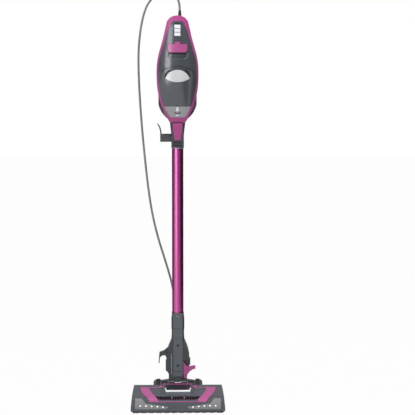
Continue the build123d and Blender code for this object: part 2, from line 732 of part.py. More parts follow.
def neck_screws():
    screws = []
    for z in SCREW_ZS:
        screw = rod_y(SCREW_R * 0.6 - FIT, 0, NECK_FRONT + 1.4, NECK_FRONT + 11, z)
        depth = 0.0 if z < BLEND_LOW else (UPPER_D - NECK_D) / 2
        screw += rod_y(SCREW_R * 1.6, 0, NECK_FRONT - depth + 1.2, NECK_FRONT - depth + PLATE_T, z)
        screw += rod_y(SCREW_R * 0.6 - FIT, 0, NECK_FRONT - depth + 1.4, NECK_FRONT + 2, z)
        screws.append(screw)
    return screws


def side_caps():
    """Bosses at both sides of the neck, over the pivots inside."""
    x0 = NECK_BULGE - 2
    left = along_y(outline([(-x0, CAP_BOTTOM), (-x0 - 3, CAP_BOTTOM + 5), (-x0 - 3, CAP_TOP - 5), (-x0, CAP_TOP)]),
                   NECK_FRONT + 5, NECK_REAR - 3)
    right = along_y(outline([(x0, CAP_TOP - 20), (x0 + 3.5, CAP_TOP - 20), (x0 + 3.5, CAP_TOP), (x0, CAP_TOP + 4)]),
                    NECK_FRONT + PEDAL_D + 2, NECK_REAR - 3)
    return [left, right]


LOW_HOOK_X = -56.0
LOW_HOOK_D = 16.0


def lower_hook():
    """Fixed hook for winding the cord, open downwards."""
    x0 = -NECK_BULGE + 2
    top = FLARE_Z
    points = [
        (x0 + 3.4, top + 8), (LOW_HOOK_X + 14, top - 2), (LOW_HOOK_X + 2, top - 6), (LOW_HOOK_X, top - 8),
        (LOW_HOOK_X - 2.5, top - 39), (LOW_HOOK_X + 0.5, top - 39), (LOW_HOOK_X + 2, top - 22),
        (LOW_HOOK_X + 10, top - 16), (x0 - 4, top - 16), (x0, top - 25), (x0, top - 10),
    ]
    return along_y(outline(points), WAND_Y - LOW_HOOK_D / 2, WAND_Y + LOW_HOOK_D / 2)


PEDAL_IN = 16.5
PEDAL_D = 12.0
PEDAL_PIN_R = 1.5
PEDAL_PIN_X = 22.0


def release_pedal():
    """Pedal that frees the wand from the head: a horn for the foot and a long lower arm."""
    pin = PEDAL_PIN_Z
    points = [
        (PEDAL_IN, PEDAL_SLOT_Z1 - 2), (PEDAL_IN + 5, pin + 34), (PEDAL_IN + 12, pin + 28), (PEDAL_IN + 19, pin + 27),
        (47, pin + 30), (52.5, pin + 30), (52.5, pin + 20), (47, pin + 20), (36, pin + 13), (29, pin + 4), (27, pin - 8),
        (PEDAL_IN + 2, pin - 8), (PEDAL_IN, pin + 10),
    ]
    pedal = along_y(outline(points), NECK_FRONT, NECK_FRONT + PEDAL_D)
    return pedal - rod_y(PEDAL_PIN_R + FIT, PEDAL_PIN_X, NECK_FRONT - 1, NECK_FRONT + PEDAL_D + 1, PEDAL_PIN_Z)


def pedal_pin():
    return rod_y(PEDAL_PIN_R, PEDAL_PIN_X, NECK_FRONT + 0.5, NECK_FRONT + PEDAL_D + 6, PEDAL_PIN_Z)


for side, pick in (("left", 1), ("right", 0)):
    save(f"tyre_{side}", both_sides(tyre())[pick])
    save(f"wheel_hub_{side}", both_sides(wheel_hub())[pick])
save("wheel_axles", wheel_axles())
save("pivot_blocks", pivot_blocks())
save("tilt_yoke", tilt_yoke())
save("swivel_pin", swivel_pin())
pin_hole = rod_y(PEDAL_PIN_R + FIT, PEDAL_PIN_X, NECK_FRONT, NECK_FRONT + PEDAL_D + 7, PEDAL_PIN_Z)
save("neck_housing", neck_housing() - pin_hole)
save("neck_front_plate", neck_front_plate())
save("neck_screws", neck_screws())
save("side_caps", side_caps())
save("lower_hook", lower_hook())
save("release_pedal", release_pedal())
save("pedal_pin", pedal_pin())


# ---- wand and collar ------------------------------------------------------------
TUBE_BOTTOM = NECK_TOP - SOCKET_DEPTH + 1
TUBE_END = TUBE_TOP + 26 # top of the tube, inside the collar
PAD_FRONT = WAND_Y - 24.0
PAD_HALF = 16.5
SHOULDER_HALF = 23.0
DUCT_R = SPIGOT_R
DUCT_LOW = TUBE_END + 4


def wand_tube():
    tube = rod_z(TUBE_R, 0, WAND_Y, TUBE_BOTTOM, TUBE_END)
    return tube - rod_z(TUBE_R - TUBE_WALL, 0, WAND_Y, TUBE_BOTTOM - 1, TUBE_END + 1)


def button_face(grow):
    top = BUTTON_HALF + grow
    low = BUTTON_LOW_HALF + grow
    return outline([(-top, BUTTON_TOP + grow), (-top, BUTTON_TOP - 12), (-low, BUTTON_BOTTOM - grow),
                    (low, BUTTON_BOTTOM - grow), (top, BUTTON_TOP - 12), (top, BUTTON_TOP + grow)])


def collar_blank():
    body = rod_z(COLLAR_R, 0, WAND_Y, TUBE_TOP, COLLAR_TOP - 2)
    shoulder = outline([(-COLLAR_R, COLLAR_TOP - 37), (COLLAR_R, COLLAR_TOP - 37), (SHOULDER_HALF, COLLAR_TOP - 2),
                        (-SHOULDER_HALF, COLLAR_TOP - 2)])
    body += along_y(shoulder, WAND_Y - 10, WAND_Y + 10)
    return body + block(-PAD_HALF, PAD_HALF, PAD_FRONT, WAND_Y, RIDGE_BOTTOM - 1, COLLAR_TOP - 2)


def collar():
    """Moulded collar: the tube sits in its foot and the hand unit's duct in its top."""
    body = collar_blank()
    body -= along_y(button_face(GAP), PAD_FRONT - 1, PAD_FRONT - 1 + BUTTON_T + BUTTON_TRAVEL + GAP)
    pitch = (RIDGE_TOP - RIDGE_BOTTOM) / RIDGES
    for i in range(RIDGES):
        z = RIDGE_BOTTOM + pitch * (i + 0.25)
        body += block(-PAD_HALF + 2, PAD_HALF - 2, PAD_FRONT - 1, PAD_FRONT + 1, z, z + pitch / 2)
    body -= rod_z(TUBE_R + FIT, 0, WAND_Y, TUBE_TOP - 1, TUBE_END)
    body -= rod_z(DUCT_R + FIT, 0, WAND_Y, TUBE_END - 1, COLLAR_TOP)
    return body


def release_button():
    return along_y(button_face(0), PAD_FRONT - 1, PAD_FRONT - 1 + BUTTON_T)


def hook_barrel():
    barrel = rod_x(HOOK_R, HOOK_X + 6, -COLLAR_R + 6, WAND_Y, HOOK_Z) - collar_blank()
    return barrel + rod_x(3, HOOK_X + 1, HOOK_X + 7, WAND_Y, HOOK_Z)


BLADE_W = 16.0


def cord_hook():
    """Turning hook: an end disc with a blade that curves up and outwards."""
    hook = rod_x(HOOK_R, HOOK_X, HOOK_X + 6 - GAP, WAND_Y, HOOK_Z)
    blade = make_face(Curve() + [
        Line((HOOK_X, HOOK_Z), (HOOK_X + 4, HOOK_Z)),
        Line((HOOK_X + 4, HOOK_Z), (HOOK_X + 4, HOOK_Z + 14)),
        ThreePointArc((HOOK_X + 4, HOOK_Z + 14), (HOOK_X + 1, HOOK_Z + 30), (HOOK_X - 7, HOOK_Z + 43)),
        Line((HOOK_X - 7, HOOK_Z + 43), (HOOK_X - 9.5, HOOK_Z + 41.5)),
        ThreePointArc((HOOK_X - 9.5, HOOK_Z + 41.5), (HOOK_X - 2.5, HOOK_Z + 28), (HOOK_X, HOOK_Z + 14)),
        Line((HOOK_X, HOOK_Z + 14), (HOOK_X, HOOK_Z)),
    ])
    hook += along_y(blade, WAND_Y - BLADE_W / 2, WAND_Y + BLADE_W / 2)
    return hook - rod_x(3 + FIT, HOOK_X + 0.8, HOOK_X + 7, WAND_Y, HOOK_Z)


save("wand_tube", wand_tube())
save("collar", collar())
save("release_button", release_button())
save("hook_barrel", hook_barrel())
save("cord_hook", cord_hook())


# ---- hand unit ------------------------------------------------------------------
BAND_REAR = WAND_Y - 5.0
CROWN_X = 75.0
UNIT_SIDE = [(23.5, UNIT_BOTTOM), (31.5, CUP_BOTTOM + 4.6), (39.5, CUP_BOTTOM + 20), (46.5, CUP_BOTTOM + 36),
             (54.5, CUP_BOTTOM + 63), (60, CUP_TOP - 32), (62, CUP_TOP), (58.5, LOOP_BOTTOM - 26),
             (45, LOOP_BOTTOM + 25), (36.5, LOOP_TOP - 15), (31, LOOP_TOP + 8)]
COVER_SIDE = [(22, CUP_BOTTOM + 6), (40, CUP_BOTTOM + 38), (50.5, CUP_BOTTOM + 75), (57, CUP_TOP),
              (53.5, LOOP_BOTTOM - 31), (38, LOOP_BOTTOM + 24), (27, LOOP_TOP - 17), (15, LOOP_TOP + 7)]
NOSE = [(UNIT_BOTTOM - 6, -18, 34), (CUP_BOTTOM + 40, -36, 56), (CUP_BOTTOM + 95, -50, 60), (CUP_TOP + 20, -55, 62),
        (LOOP_BOTTOM - 11, -51, 58), (LOOP_BOTTOM + 39, -41, 42), (UNIT_TOP + 5, -23, 30)]


def unit_face(inset):
    """Front outline of the hand unit, drawn as (x, z)."""
    right = [(x - inset, z) for x, z in UNIT_SIDE]
    right[0] = (right[0][0], UNIT_BOTTOM + inset)
    top = UNIT_TOP - inset
    corner = (right[-1][0] - 8, top - 7)
    left = [(-x, z) for x, z in right]
    edges = [
        Line(left[0], right[0]), Spline(*right), Line(right[-1], corner),
        ThreePointArc(corner, (0, top), (-corner[0], corner[1])),
        Line((-corner[0], corner[1]), left[-1]), Spline(*reversed(left)),
    ]
    return make_face(Curve() + edges)


def cover_face(inset):
    """Outline of the grey covers inside the coloured band, drawn as (x, z)."""
    right = [(x - inset, z) for x, z in COVER_SIDE]
    left = [(-x, z) for x, z in right]
    return make_face(Curve() + [Line(left[0], right[0]), Spline(*right), Line(right[-1], left[-1]),
                                Spline(*reversed(left))])


def crown(inset):
    """Bowed front of the hand unit: shallow arches, one above another."""
    sections = []
    for z, front, half in NOSE:
        nose = WAND_Y + front + inset
        drop = 0.34 / half * CROWN_X ** 2
        ends = [(-CROWN_X, nose + drop, z), (CROWN_X, nose + drop, z)]
        rear = WAND_Y + 160
        sections.append(make_face(Curve() + [
            ThreePointArc(ends[0], (0, nose, z), ends[1]),
            Line(ends[1], (CROWN_X, rear, z)), Line((CROWN_X, rear, z), (-CROWN_X, rear, z)),
            Line((-CROWN_X, rear, z), ends[0]),
        ]))
    return loft(sections)


def unit_front(inset):
    return crown(inset) & along_y(unit_face(inset), WAND_Y - 70, BAND_REAR)


FRONT_0 = unit_front(0)
FRONT_IN = unit_front(WALL)
COVER_BAR = along_y(cover_face(0.2), WAND_Y - 80, BAND_REAR)
SEAM_Z = RECESS_BOTTOM - 26
SEAM_W = 0.8
COVER_SPLIT = LATCH_TOP + 9.5
POCKET_D = 5.0          # depth of the pockets behind the latch and the switch
POCKET_T = 2.0
WINDOW_TOP = UNIT_BOTTOM + 47


def frame_band():
    """Coloured frame all round the covers, with a tongue of its own at the top and the bottom."""
    band = (FRONT_0 - FRONT_IN) - along_y(cover_face(0), WAND_Y - 80, BAND_REAR + 1)
    return band - rod_z(DUCT_R + FIT, 0, WAND_Y, UNIT_BOTTOM - 1, UNIT_BOTTOM + 20)


LATCH_TAB = 8.3
LATCH_PIN_Z = LATCH_TOP + 4
LATCH_PIN_END = LATCH_TAB + LATCH_ROOM + 1.5


def latch_face(grow):
    half = LATCH_HALF + grow
    tab = LATCH_TAB + grow
    bar = outline([(-half, LATCH_TOP + grow), (-half, LATCH_BOTTOM + 7), (-half + 6, LATCH_BOTTOM - grow),
                   (half - 6, LATCH_BOTTOM - grow), (half, LATCH_BOTTOM + 7), (half, LATCH_TOP + grow)])
    stem = outline([(-tab, LATCH_TOP - 1), (tab, LATCH_TOP - 1), (tab, LATCH_TOP + 7 + grow),
                    (-tab, LATCH_TOP + 7 + grow)])
    return bar + stem


def recess_face():
    half = LATCH_HALF - 3
    return outline([(-half, LATCH_TOP - 4), (-half, RECESS_BOTTOM + 8), (-half + 9, RECESS_BOTTOM),
                    (half - 9, RECESS_BOTTOM), (half, RECESS_BOTTOM + 8), (half, LATCH_TOP - 4)])


def switch_face(grow, low, high):
    half = SWITCH_HALF + grow
    return outline([(-half, low), (half, low), (half, high), (-half, high)])


SWITCH_LOW = SWITCH_Z - SWITCH_H / 2
SWITCH_HIGH = SWITCH_Z + SWITCH_H / 2


def pocket(face, near):
    """Floor plate behind an opening, drawn from the crowned front moved inwards."""
    layer = unit_front(POCKET_D) - unit_front(POCKET_D + POCKET_T)
    walls = unit_front(near) - unit_front(POCKET_D + POCKET_T)
    grown = offset(face, amount=POCKET_T)
    rim = walls & (along_y(grown, WAND_Y - 80, BAND_REAR) - along_y(face, WAND_Y - 80, BAND_REAR))
    return ((layer & along_y(face, WAND_Y - 80, BAND_REAR)) + rim) & COVER_BAR


COVER_SHELL = (FRONT_0 - FRONT_IN) & COVER_BAR


def nose_window():
    """Pale window at the foot of the hand unit, with its rib."""
    window = COVER_SHELL & block(-80, 80, -90, BAND_REAR, UNIT_BOTTOM, WINDOW_TOP - 0.2)
    rib = (unit_front(-2.5) - FRONT_IN) & block(-4.5, 4.5, -90, BAND_REAR, WINDOW_TOP - 17, WINDOW_TOP - 0.2)
    dot = (unit_front(-1) - FRONT_IN) & along_y(Pos(0, WINDOW_TOP - 26) * Circle(2.2), WAND_Y - 80, BAND_REAR)
    return window + rib + dot


def front_cover():
    """Main grey cover: seam groove, finger recess and the latch's pocket."""
    cover = COVER_SHELL & block(-80, 80, -90, BAND_REAR, WINDOW_TOP, COVER_SPLIT)
    seam = make_face(Curve() + [
        ThreePointArc((-60, SEAM_Z - 16), (0, SEAM_Z), (60, SEAM_Z - 16)),
        Line((60, SEAM_Z - 16), (60, SEAM_Z - 16 - SEAM_W)),
        ThreePointArc((60, SEAM_Z - 16 - SEAM_W), (0, SEAM_Z - SEAM_W), (-60, SEAM_Z - 16 - SEAM_W)),
        Line((-60, SEAM_Z - 16 - SEAM_W), (-60, SEAM_Z - 16)),
    ])
    cover -= (FRONT_0 - unit_front(0.8)) & along_y(seam, WAND_Y - 80, BAND_REAR)
    for face in (latch_face(LATCH_ROOM), recess_face()):
        cover -= along_y(face, WAND_Y - 80, BAND_REAR)
    cover += pocket(latch_face(LATCH_ROOM) + recess_face(), 0.5) & block(-80, 80, -90, BAND_REAR, WINDOW_TOP, COVER_SPLIT)
    cover -= rod_x(LATCH_PIN_R + FIT, -LATCH_PIN_END - GAP, LATCH_PIN_END + GAP, LATCH_PIN_Y, LATCH_PIN_Z)
    return cover - badge_recess()


def badge_face(inset):
    half = BADGE_HALF - inset
    rise = BADGE_RISE - inset
    return make_face(Curve() + [
        ThreePointArc((-half, BADGE_Z - 7), (0, BADGE_Z + rise), (half, BADGE_Z - 7)),
        ThreePointArc((half, BADGE_Z - 7), (0, BADGE_Z - rise), (-half, BADGE_Z - 7)),
    ])


BADGE_SINK = 1.0


def badge_recess():
    return (FRONT_0 - unit_front(BADGE_SINK)) & along_y(badge_face(-0.2), WAND_Y - 80, BAND_REAR)


def badge_plate():
    """Bare oval plate set into the front cover."""
    return (unit_front(-BADGE_SINK) - unit_front(BADGE_SINK)) & along_y(badge_face(0), WAND_Y - 80, BAND_REAR)


def grip_cover():
    """Cover above the latch, with the pocket of the slide switch."""
    cover = COVER_SHELL & block(-80, 80, -90, BAND_REAR, COVER_SPLIT + 0.2, UNIT_TOP)
    opening = switch_face(GAP, SWITCH_LOW - 2, SWITCH_HIGH + SWITCH_TRAVEL + GAP)
    cover -= along_y(opening, WAND_Y - 80, BAND_REAR)
    return cover + (pocket(opening, 0.5) & block(-80, 80, -90, BAND_REAR, COVER_SPLIT + 0.2, UNIT_TOP))


def front_latch():
    """Lift-up latch on two stub pins in the walls of its pocket."""
    latch = (unit_front(-3) - unit_front(POCKET_D - LATCH_ROOM)) & along_y(latch_face(0), WAND_Y - 80, BAND_REAR)
    return latch + rod_x(LATCH_PIN_R, -LATCH_PIN_END, LATCH_PIN_END, LATCH_PIN_Y, LATCH_PIN_Z)


def switch_slider():
    """Slide switch with three thumb steps."""
    block_low = switch_face(0, SWITCH_LOW, SWITCH_HIGH)
    slider = (unit_front(-0.6) - unit_front(POCKET_D - 2 * GAP)) & along_y(block_low, WAND_Y - 80, BAND_REAR)
    step = SWITCH_H / 3
    for i in range(3):
        low = SWITCH_LOW + step * i + 0.8
        rise = (unit_front(-2.4) - unit_front(0)) & along_y(
            switch_face(-1, low, low + step * 0.72), WAND_Y - 80, BAND_REAR)
        slider += rise
    return slider


save("frame_band", frame_band())
save("nose_window", nose_window())
save("front_cover", front_cover())
save("badge_plate", badge_plate())
save("grip_cover", grip_cover())
save("front_latch", front_latch())
save("switch_slider", switch_slider())
HOUSING_FRONT = BAND_REAR
EYE_R = 18.0            # air's way from the dust cup into the fan
SPINE_REAR = WAND_Y + LOOP_FRONT
MOTOR_LOW = CUP_TOP + GAP
HOUSING_HALF = 52.0
HANDLE_HALF = GRIP_W / 2
LOOP_Y = WAND_Y + LOOP_REAR
TAIL_Y = WAND_Y + GRIP_REAR
GRIP_T = 4.0
GRIP_LOW = LOOP_BOTTOM + 8
GRIP_HIGH = LOOP_TOP - 8


def housing_solid(inset):
    """Rear of the hand unit: spine behind the covers, motor bay and the handle's loop."""
    spine = along_y(unit_face(1.2 + inset), HOUSING_FRONT, SPINE_REAR - inset)
    bay = Pos(0, WAND_Y + HOUSING_REAR / 2) * RectangleRounded(2 * (HOUSING_HALF - inset), HOUSING_REAR + 10 - 2 * inset, 22)
    body = spine + along_z(bay, MOTOR_LOW + inset, LOOP_BOTTOM - inset)
    return body


def handle_solid():
    """Tail of the loop: the bridge at the top, the bar behind and its foot on the motor bay."""
    side = outline([
        (SPINE_REAR - 1, LOOP_TOP), (LOOP_Y, LOOP_TOP), (LOOP_Y, LOOP_BOTTOM),
        (LOOP_Y - 8, LOOP_BOTTOM), (LOOP_Y - 8, LOOP_BOTTOM - 20), (TAIL_Y - 8, LOOP_BOTTOM - 34),
        (TAIL_Y - 2, LOOP_BOTTOM), (TAIL_Y, LOOP_BOTTOM + 20), (TAIL_Y, LOOP_TOP), (TAIL_Y - 10, UNIT_TOP - 8),
        (TAIL_Y - 26, UNIT_TOP - 3), (SPINE_REAR - 1, UNIT_TOP - 3),
    ])
    return along_x(side, -HANDLE_HALF, HANDLE_HALF)


def grip_region(grow):
    """C-shaped pad around the rear of the handle's bar."""
    side = [(LOOP_Y + 12 - grow, GRIP_LOW - grow), (TAIL_Y + 9, GRIP_LOW - grow), (TAIL_Y + 9, GRIP_HIGH + grow),
            (LOOP_Y + 12 - grow, GRIP_HIGH + grow)]
    core = block(-HANDLE_HALF + GRIP_T + grow, HANDLE_HALF - GRIP_T - grow, 0, TAIL_Y - GRIP_T - grow, 0, 2000)
    return along_x(outline(side), -40, 40) - core


HANDLE = handle_solid()
HANDLE_SOFT = HANDLE & grip_region(0)
DUCT_TOP_Z = CUP_TOP - 40
PORT_R = 11.0
PORT_Z = DUCT_TOP_Z - 23
CUP_Y0 = WAND_Y + CUP_FRONT
CUP_Y1 = WAND_Y + CUP_REAR


def rear_housing():
    housing = housing_solid(0) - housing_solid(WALL)
    housing += HANDLE - grip_region(0) - housing_solid(WALL)
    housing -= block(-80, 80, BAND_REAR - 1, BAND_REAR + WALL + 0.01, CUP_BOTTOM + 5,
                     LOOP_TOP + 8) & along_y(
        unit_face(8), BAND_REAR - 1, BAND_REAR + WALL + 0.01)
    housing -= rod_z(DUCT_R + FIT, 0, WAND_Y, UNIT_BOTTOM - 1, DUCT_TOP_Z + FIT)
    housing -= rod_y(PORT_R + 1, 0, WAND_Y, WAND_Y + 40, PORT_Z)
    housing -= rod_z(EYE_R, 0, WAND_Y + MOTOR_AXIS_Y, MOTOR_LOW - 1, MOTOR_LOW + WALL + 1)
    housing -= rod_z(CORD_D / 2 + 2, RELIEF_X, RELIEF_Y, UNIT_TOP - 22, UNIT_TOP + 5)
    housing -= rod_z(CORD_D / 2 + 3.5 + FIT, RELIEF_X, RELIEF_Y, RELIEF_BASE, UNIT_TOP + 5)
    return housing


RELIEF_Y = TAIL_Y - 12.0
RELIEF_BASE = UNIT_TOP - 6


def inlet_duct():
    """Air duct from the wand's collar up to the dust cup's port."""
    duct = rod_z(DUCT_R, 0, WAND_Y, DUCT_LOW, DUCT_TOP_Z)
    duct -= rod_z(DUCT_R - 2, 0, WAND_Y, DUCT_LOW - 1, DUCT_TOP_Z - 2)
    duct += rod_y(PORT_R + 1 - FIT, 0, WAND_Y + DUCT_R - 2, CUP_Y0 - GAP, PORT_Z)
    duct -= rod_z(DUCT_R - 2, 0, WAND_Y, DUCT_LOW - 1, DUCT_TOP_Z - 2)
    return duct - rod_y(PORT_R - 1, 0, WAND_Y + 2, CUP_Y0 + 1, PORT_Z)


DOOR_Z = CUP_BOTTOM + 26
CUP_WALL = 2.0
CUP_CORNER = 26.0


def cup_solid(inset):
    """Outer form of the dust cup, with its rounded foot."""
    low = CUP_BOTTOM + 2 + inset
    half = CUP_HALF - inset
    front = make_face(Curve() + [
        Line((-half, CUP_TOP - GAP - inset), (half, CUP_TOP - GAP - inset)), Line((half, CUP_TOP - GAP - inset), (half, DOOR_Z + 20)),
        ThreePointArc((half, DOOR_Z + 20), (half - 11, DOOR_Z - 6), (half - 28, low)),
        Line((half - 28, low), (-half + 28, low)), ThreePointArc((-half + 28, low), (-half + 11, DOOR_Z - 6), (-half, DOOR_Z + 20)),
        Line((-half, DOOR_Z + 20), (-half, CUP_TOP - GAP - inset)),
    ])
    depth = CUP_Y1 - CUP_Y0 - 2 * inset
    plan = Pos(0, (CUP_Y0 + CUP_Y1) / 2) * RectangleRounded(2 * half, depth, CUP_CORNER - inset)
    return along_y(front, CUP_Y0 - 5, CUP_Y1 + 5) & along_z(plan, CUP_BOTTOM, CUP_TOP)


HINGE_R = 3.5
HINGE_Y = CUP_Y1 - HINGE_R
HINGE_HALF = 24.0
KNUCKLE = 16.0
DOOR_PIN_R = 1.5


def cup_shell():
    return cup_solid(0) - cup_solid(CUP_WALL)


def hinge_knuckle(x0, x1):
    return rod_x(HINGE_R, x0, x1, HINGE_Y, DOOR_Z)


HINGE_SWEEP = 5.2       # radius that stays clear round the hinge as the door swings
FAR = 80.0


def door_zones(grow):
    """The two stretches of the hinge line that belong to the door's knuckles."""
    return both_sides(rod_x(HINGE_SWEEP + GAP, KNUCKLE / 2 + GAP - grow, HINGE_HALF + grow, HINGE_Y, DOOR_Z))


def dust_cup():
    """Clear dust cup, open below; its door hangs at the rear."""
    hinge_line = rod_x(HINGE_SWEEP, -FAR, FAR, HINGE_Y, DOOR_Z)
    cup = cup_shell() & (block(-FAR, FAR, CUP_Y0 - 1, CUP_Y1 + 9, DOOR_Z + GAP, CUP_TOP) + hinge_line)
    for zone in door_zones(GAP):
        cup -= zone
    cup += hinge_knuckle(-KNUCKLE / 2, KNUCKLE / 2)
    cup -= rod_x(DOOR_PIN_R, -FAR, FAR, HINGE_Y, DOOR_Z)
    cup -= rod_y(PORT_R, 0, CUP_Y0 - 1, CUP_Y0 + CUP_WALL + 1, PORT_Z)
    cup -= rod_z(EYE_R, 0, WAND_Y + MOTOR_AXIS_Y + 10, CUP_TOP - 9, CUP_TOP + 1)
    return cup


def cup_door():
    """Door that drops open at the foot of the dust cup."""
    door = cup_shell() & block(-FAR, FAR, CUP_Y0 - 1, CUP_Y1 + 9, 0, DOOR_Z)
    swept = rod_x(HINGE_SWEEP + GAP, -FAR, FAR, HINGE_Y, DOOR_Z)
    for zone in door_zones(0):
        swept -= zone
    door -= swept
    for knuckle in both_sides(hinge_knuckle(KNUCKLE / 2 + GAP, HINGE_HALF)):
        door += knuckle
    return door - rod_x(DOOR_PIN_R + FIT, -FAR, FAR, HINGE_Y, DOOR_Z)


def door_pin():
    return rod_x(DOOR_PIN_R, -HINGE_HALF + 1, HINGE_HALF - 1, HINGE_Y, DOOR_Z)


save("rear_housing", rear_housing())
save("handle_grip", HANDLE_SOFT)
save("inlet_duct", inlet_duct())
save("dust_cup", dust_cup())
save("cup_door", cup_door())
save("door_pin", door_pin())


# ---- inside the hand unit ---------------------------------------------------------
MOTOR_Y0 = WAND_Y + MOTOR_AXIS_Y
BAY_FLOOR = MOTOR_LOW + WALL
FOAM_T = 11.0
SCREEN_R = 26.0
SCREEN_T = 1.2
SCREEN_LOW = DOOR_Z + 26


def motor_can():
    """Suction motor: a can with the fan's chamber at its foot."""
    can = rod_z(MOTOR_CAN_R, 0, MOTOR_Y0, BAY_FLOOR, MOTOR_CAN_TOP)
    can -= rod_z(FAN_R + 1, 0, MOTOR_Y0, BAY_FLOOR - 1, FAN_LOW + FAN_H + 1)
    can -= rod_z(SHAFT_R + FIT, 0, MOTOR_Y0, BAY_FLOOR, MOTOR_CAN_TOP - 4)
    return can


def fan():
    """Fan wheel on the motor's shaft."""
    wheel = rod_z(SHAFT_R, 0, MOTOR_Y0, FAN_LOW, MOTOR_CAN_TOP - 5)
    wheel += rod_z(8, 0, MOTOR_Y0, FAN_LOW, FAN_LOW + FAN_H)
    wheel += rod_z(FAN_R, 0, MOTOR_Y0, FAN_LOW + FAN_H - 1.5, FAN_LOW + FAN_H)
    for i in range(BLADES):
        blade = block(6, FAN_R - 1, -0.8, 0.8, FAN_LOW, FAN_LOW + FAN_H - 1)
        wheel += Pos(0, MOTOR_Y0, 0) * Rot(0, 0, 360 / BLADES * i) * blade
    return wheel


def foam_filter():
    top = CUP_TOP - GAP - CUP_WALL - 0.2
    return cup_solid(CUP_WALL + 0.3) & block(-80, 80, 0, 200, top - FOAM_T, top)


def mesh_screen():
    """Screen that keeps the dirt in the cup, hung under the foam."""
    top = CUP_TOP - GAP - CUP_WALL - FOAM_T - 0.5
    middle = WAND_Y + (CUP_FRONT + CUP_REAR) / 2
    screen = rod_z(SCREEN_R, 0, middle, SCREEN_LOW, top)
    return screen - rod_z(SCREEN_R - SCREEN_T, 0, middle, SCREEN_LOW + SCREEN_T, top + 1)


def switch_body():
    body = block(-8, 8, -30, BAND_REAR + 10, SWITCH_LOW + 3, SWITCH_HIGH - 3)
    return body & crown(POCKET_D + POCKET_T)


# ---- cord ---------------------------------------------------------------------
def strain_relief():
    """Tapered sleeve where the cord leaves the top of the handle."""
    tip = CORD_D / 2 + 1
    sleeve = Pos(RELIEF_X, RELIEF_Y, RELIEF_BASE + RELIEF_LEN / 2) * Cone(tip + 2.5, tip, RELIEF_LEN)
    return sleeve + rod_z(CORD_D / 2 + 2 - FIT, RELIEF_X, RELIEF_Y, RELIEF_BASE - 10, RELIEF_BASE)


def cord_radii(route):
    """Largest arc that each corner's two runs allow."""
    radii = []
    for before, here, after in zip(route, route[1:], route[2:]):
        run_in = Vector(*here) - Vector(*before)
        run_out = Vector(*after) - Vector(*here)
        turn = radians(run_in.get_angle(run_out))
        radii.append(0.45 * min(run_in.length, run_out.length) / tan(turn / 2))
    return radii


def swept_lead(route):
    radii = cord_radii(route)
    print("cord radii", [round(r) for r in radii])
    path = FilletPolyline(*route, radius=radii)
    start = Plane(origin=path @ 0, z_dir=path % 0)
    tube = sweep(start * Circle(CORD_D / 2), path=path)
    print("cord", round(path.length), "volume ratio", tube.volume / (pi * CORD_D ** 2 / 4 * path.length))
    return tube


def cord():
    return swept_lead(CORD_ROUTE)


PLUG_TAIL = 13.0
PLUG_LEN = 24.0
PLUG_W = 22.0
PLUG_T = 15.0
PLUG_BLADE_LEN = 17.0
PLUG_BLADE_GAP = 12.7
LEAD_X = -COIL_OUT_R + CORD_D / 2
PLUG_Y = COIL_Y + 100.0 # where the plug's body begins
LEAD_END = [
    (LEAD_X, COIL_Y, COIL_H - CORD_D / 2 - 0.5),
    (LEAD_X, COIL_Y + 26, COIL_H - CORD_D / 2 - 0.5),
    (LEAD_X, COIL_Y + 62, PLUG_T / 2),
    (LEAD_X, PLUG_Y - PLUG_TAIL + 1, PLUG_T / 2),
]


def cord_coil():
    """The wound turns, and the free end that runs down to the plug."""
    coil = rod_z(COIL_OUT_R, 0, COIL_Y, 0, COIL_H) - rod_z(COIL_IN_R, 0, COIL_Y, -1, COIL_H + 1)
    edges = coil.edges().filter_by(GeomType.CIRCLE)
    coil = fillet(edges, 9)
    coil -= block(0, COIL_OUT_R + 9, COIL_Y - TIE_W / 2 - 1, COIL_Y + TIE_W / 2 + 1, -1, TIE_T + GAP)
    return coil + swept_lead(LEAD_END)


def cord_tie():
    """Strap round the coil's turns at its right-hand side."""
    x0 = COIL_IN_R - GAP
    x1 = COIL_OUT_R + GAP
    outer = block(x0 - TIE_T, x1 + TIE_T, COIL_Y - TIE_W / 2, COIL_Y + TIE_W / 2, 0, COIL_H + GAP + TIE_T)
    inner = block(x0, x1, COIL_Y - TIE_W, COIL_Y + TIE_W, TIE_T, COIL_H + GAP)
    return outer - inner


def plug_body():
    """Moulded plug, lying on the floor beside the coil."""
    body = block(LEAD_X - PLUG_W / 2, LEAD_X + PLUG_W / 2, PLUG_Y, PLUG_Y + PLUG_LEN, 0, PLUG_T)
    body = fillet(body.edges().filter_by(Axis.Y), 3.5)
    tail = Pos(LEAD_X, PLUG_Y - PLUG_TAIL / 2, PLUG_T / 2) * Rot(-90, 0, 0) * Cone(CORD_D / 2 + 1, 6, PLUG_TAIL)
    body += tail
    return body - rod_y(CORD_D / 2 + FIT, LEAD_X, PLUG_Y - PLUG_TAIL - 1, PLUG_Y - PLUG_TAIL + 2, PLUG_T / 2)


def plug_blades():
    y = PLUG_Y + PLUG_LEN
    blades = []
    for side in (-1, 1):
        x = LEAD_X + side * PLUG_BLADE_GAP / 2
        blades.append(block(x - 0.75, x + 0.75, y, y + PLUG_BLADE_LEN, PLUG_T / 2 - 3.2, PLUG_T / 2 + 3.2))
    return blades


save("motor_can", motor_can())
save("fan", fan())
save("foam_filter", foam_filter())
save("mesh_screen", mesh_screen())
save("switch_body", switch_body())
save("strain_relief", strain_relief())
save("cord", cord())
save("cord_coil", cord_coil())
save("cord_tie", cord_tie())
save("plug_body", plug_body())
save("plug_blades", plug_blades())
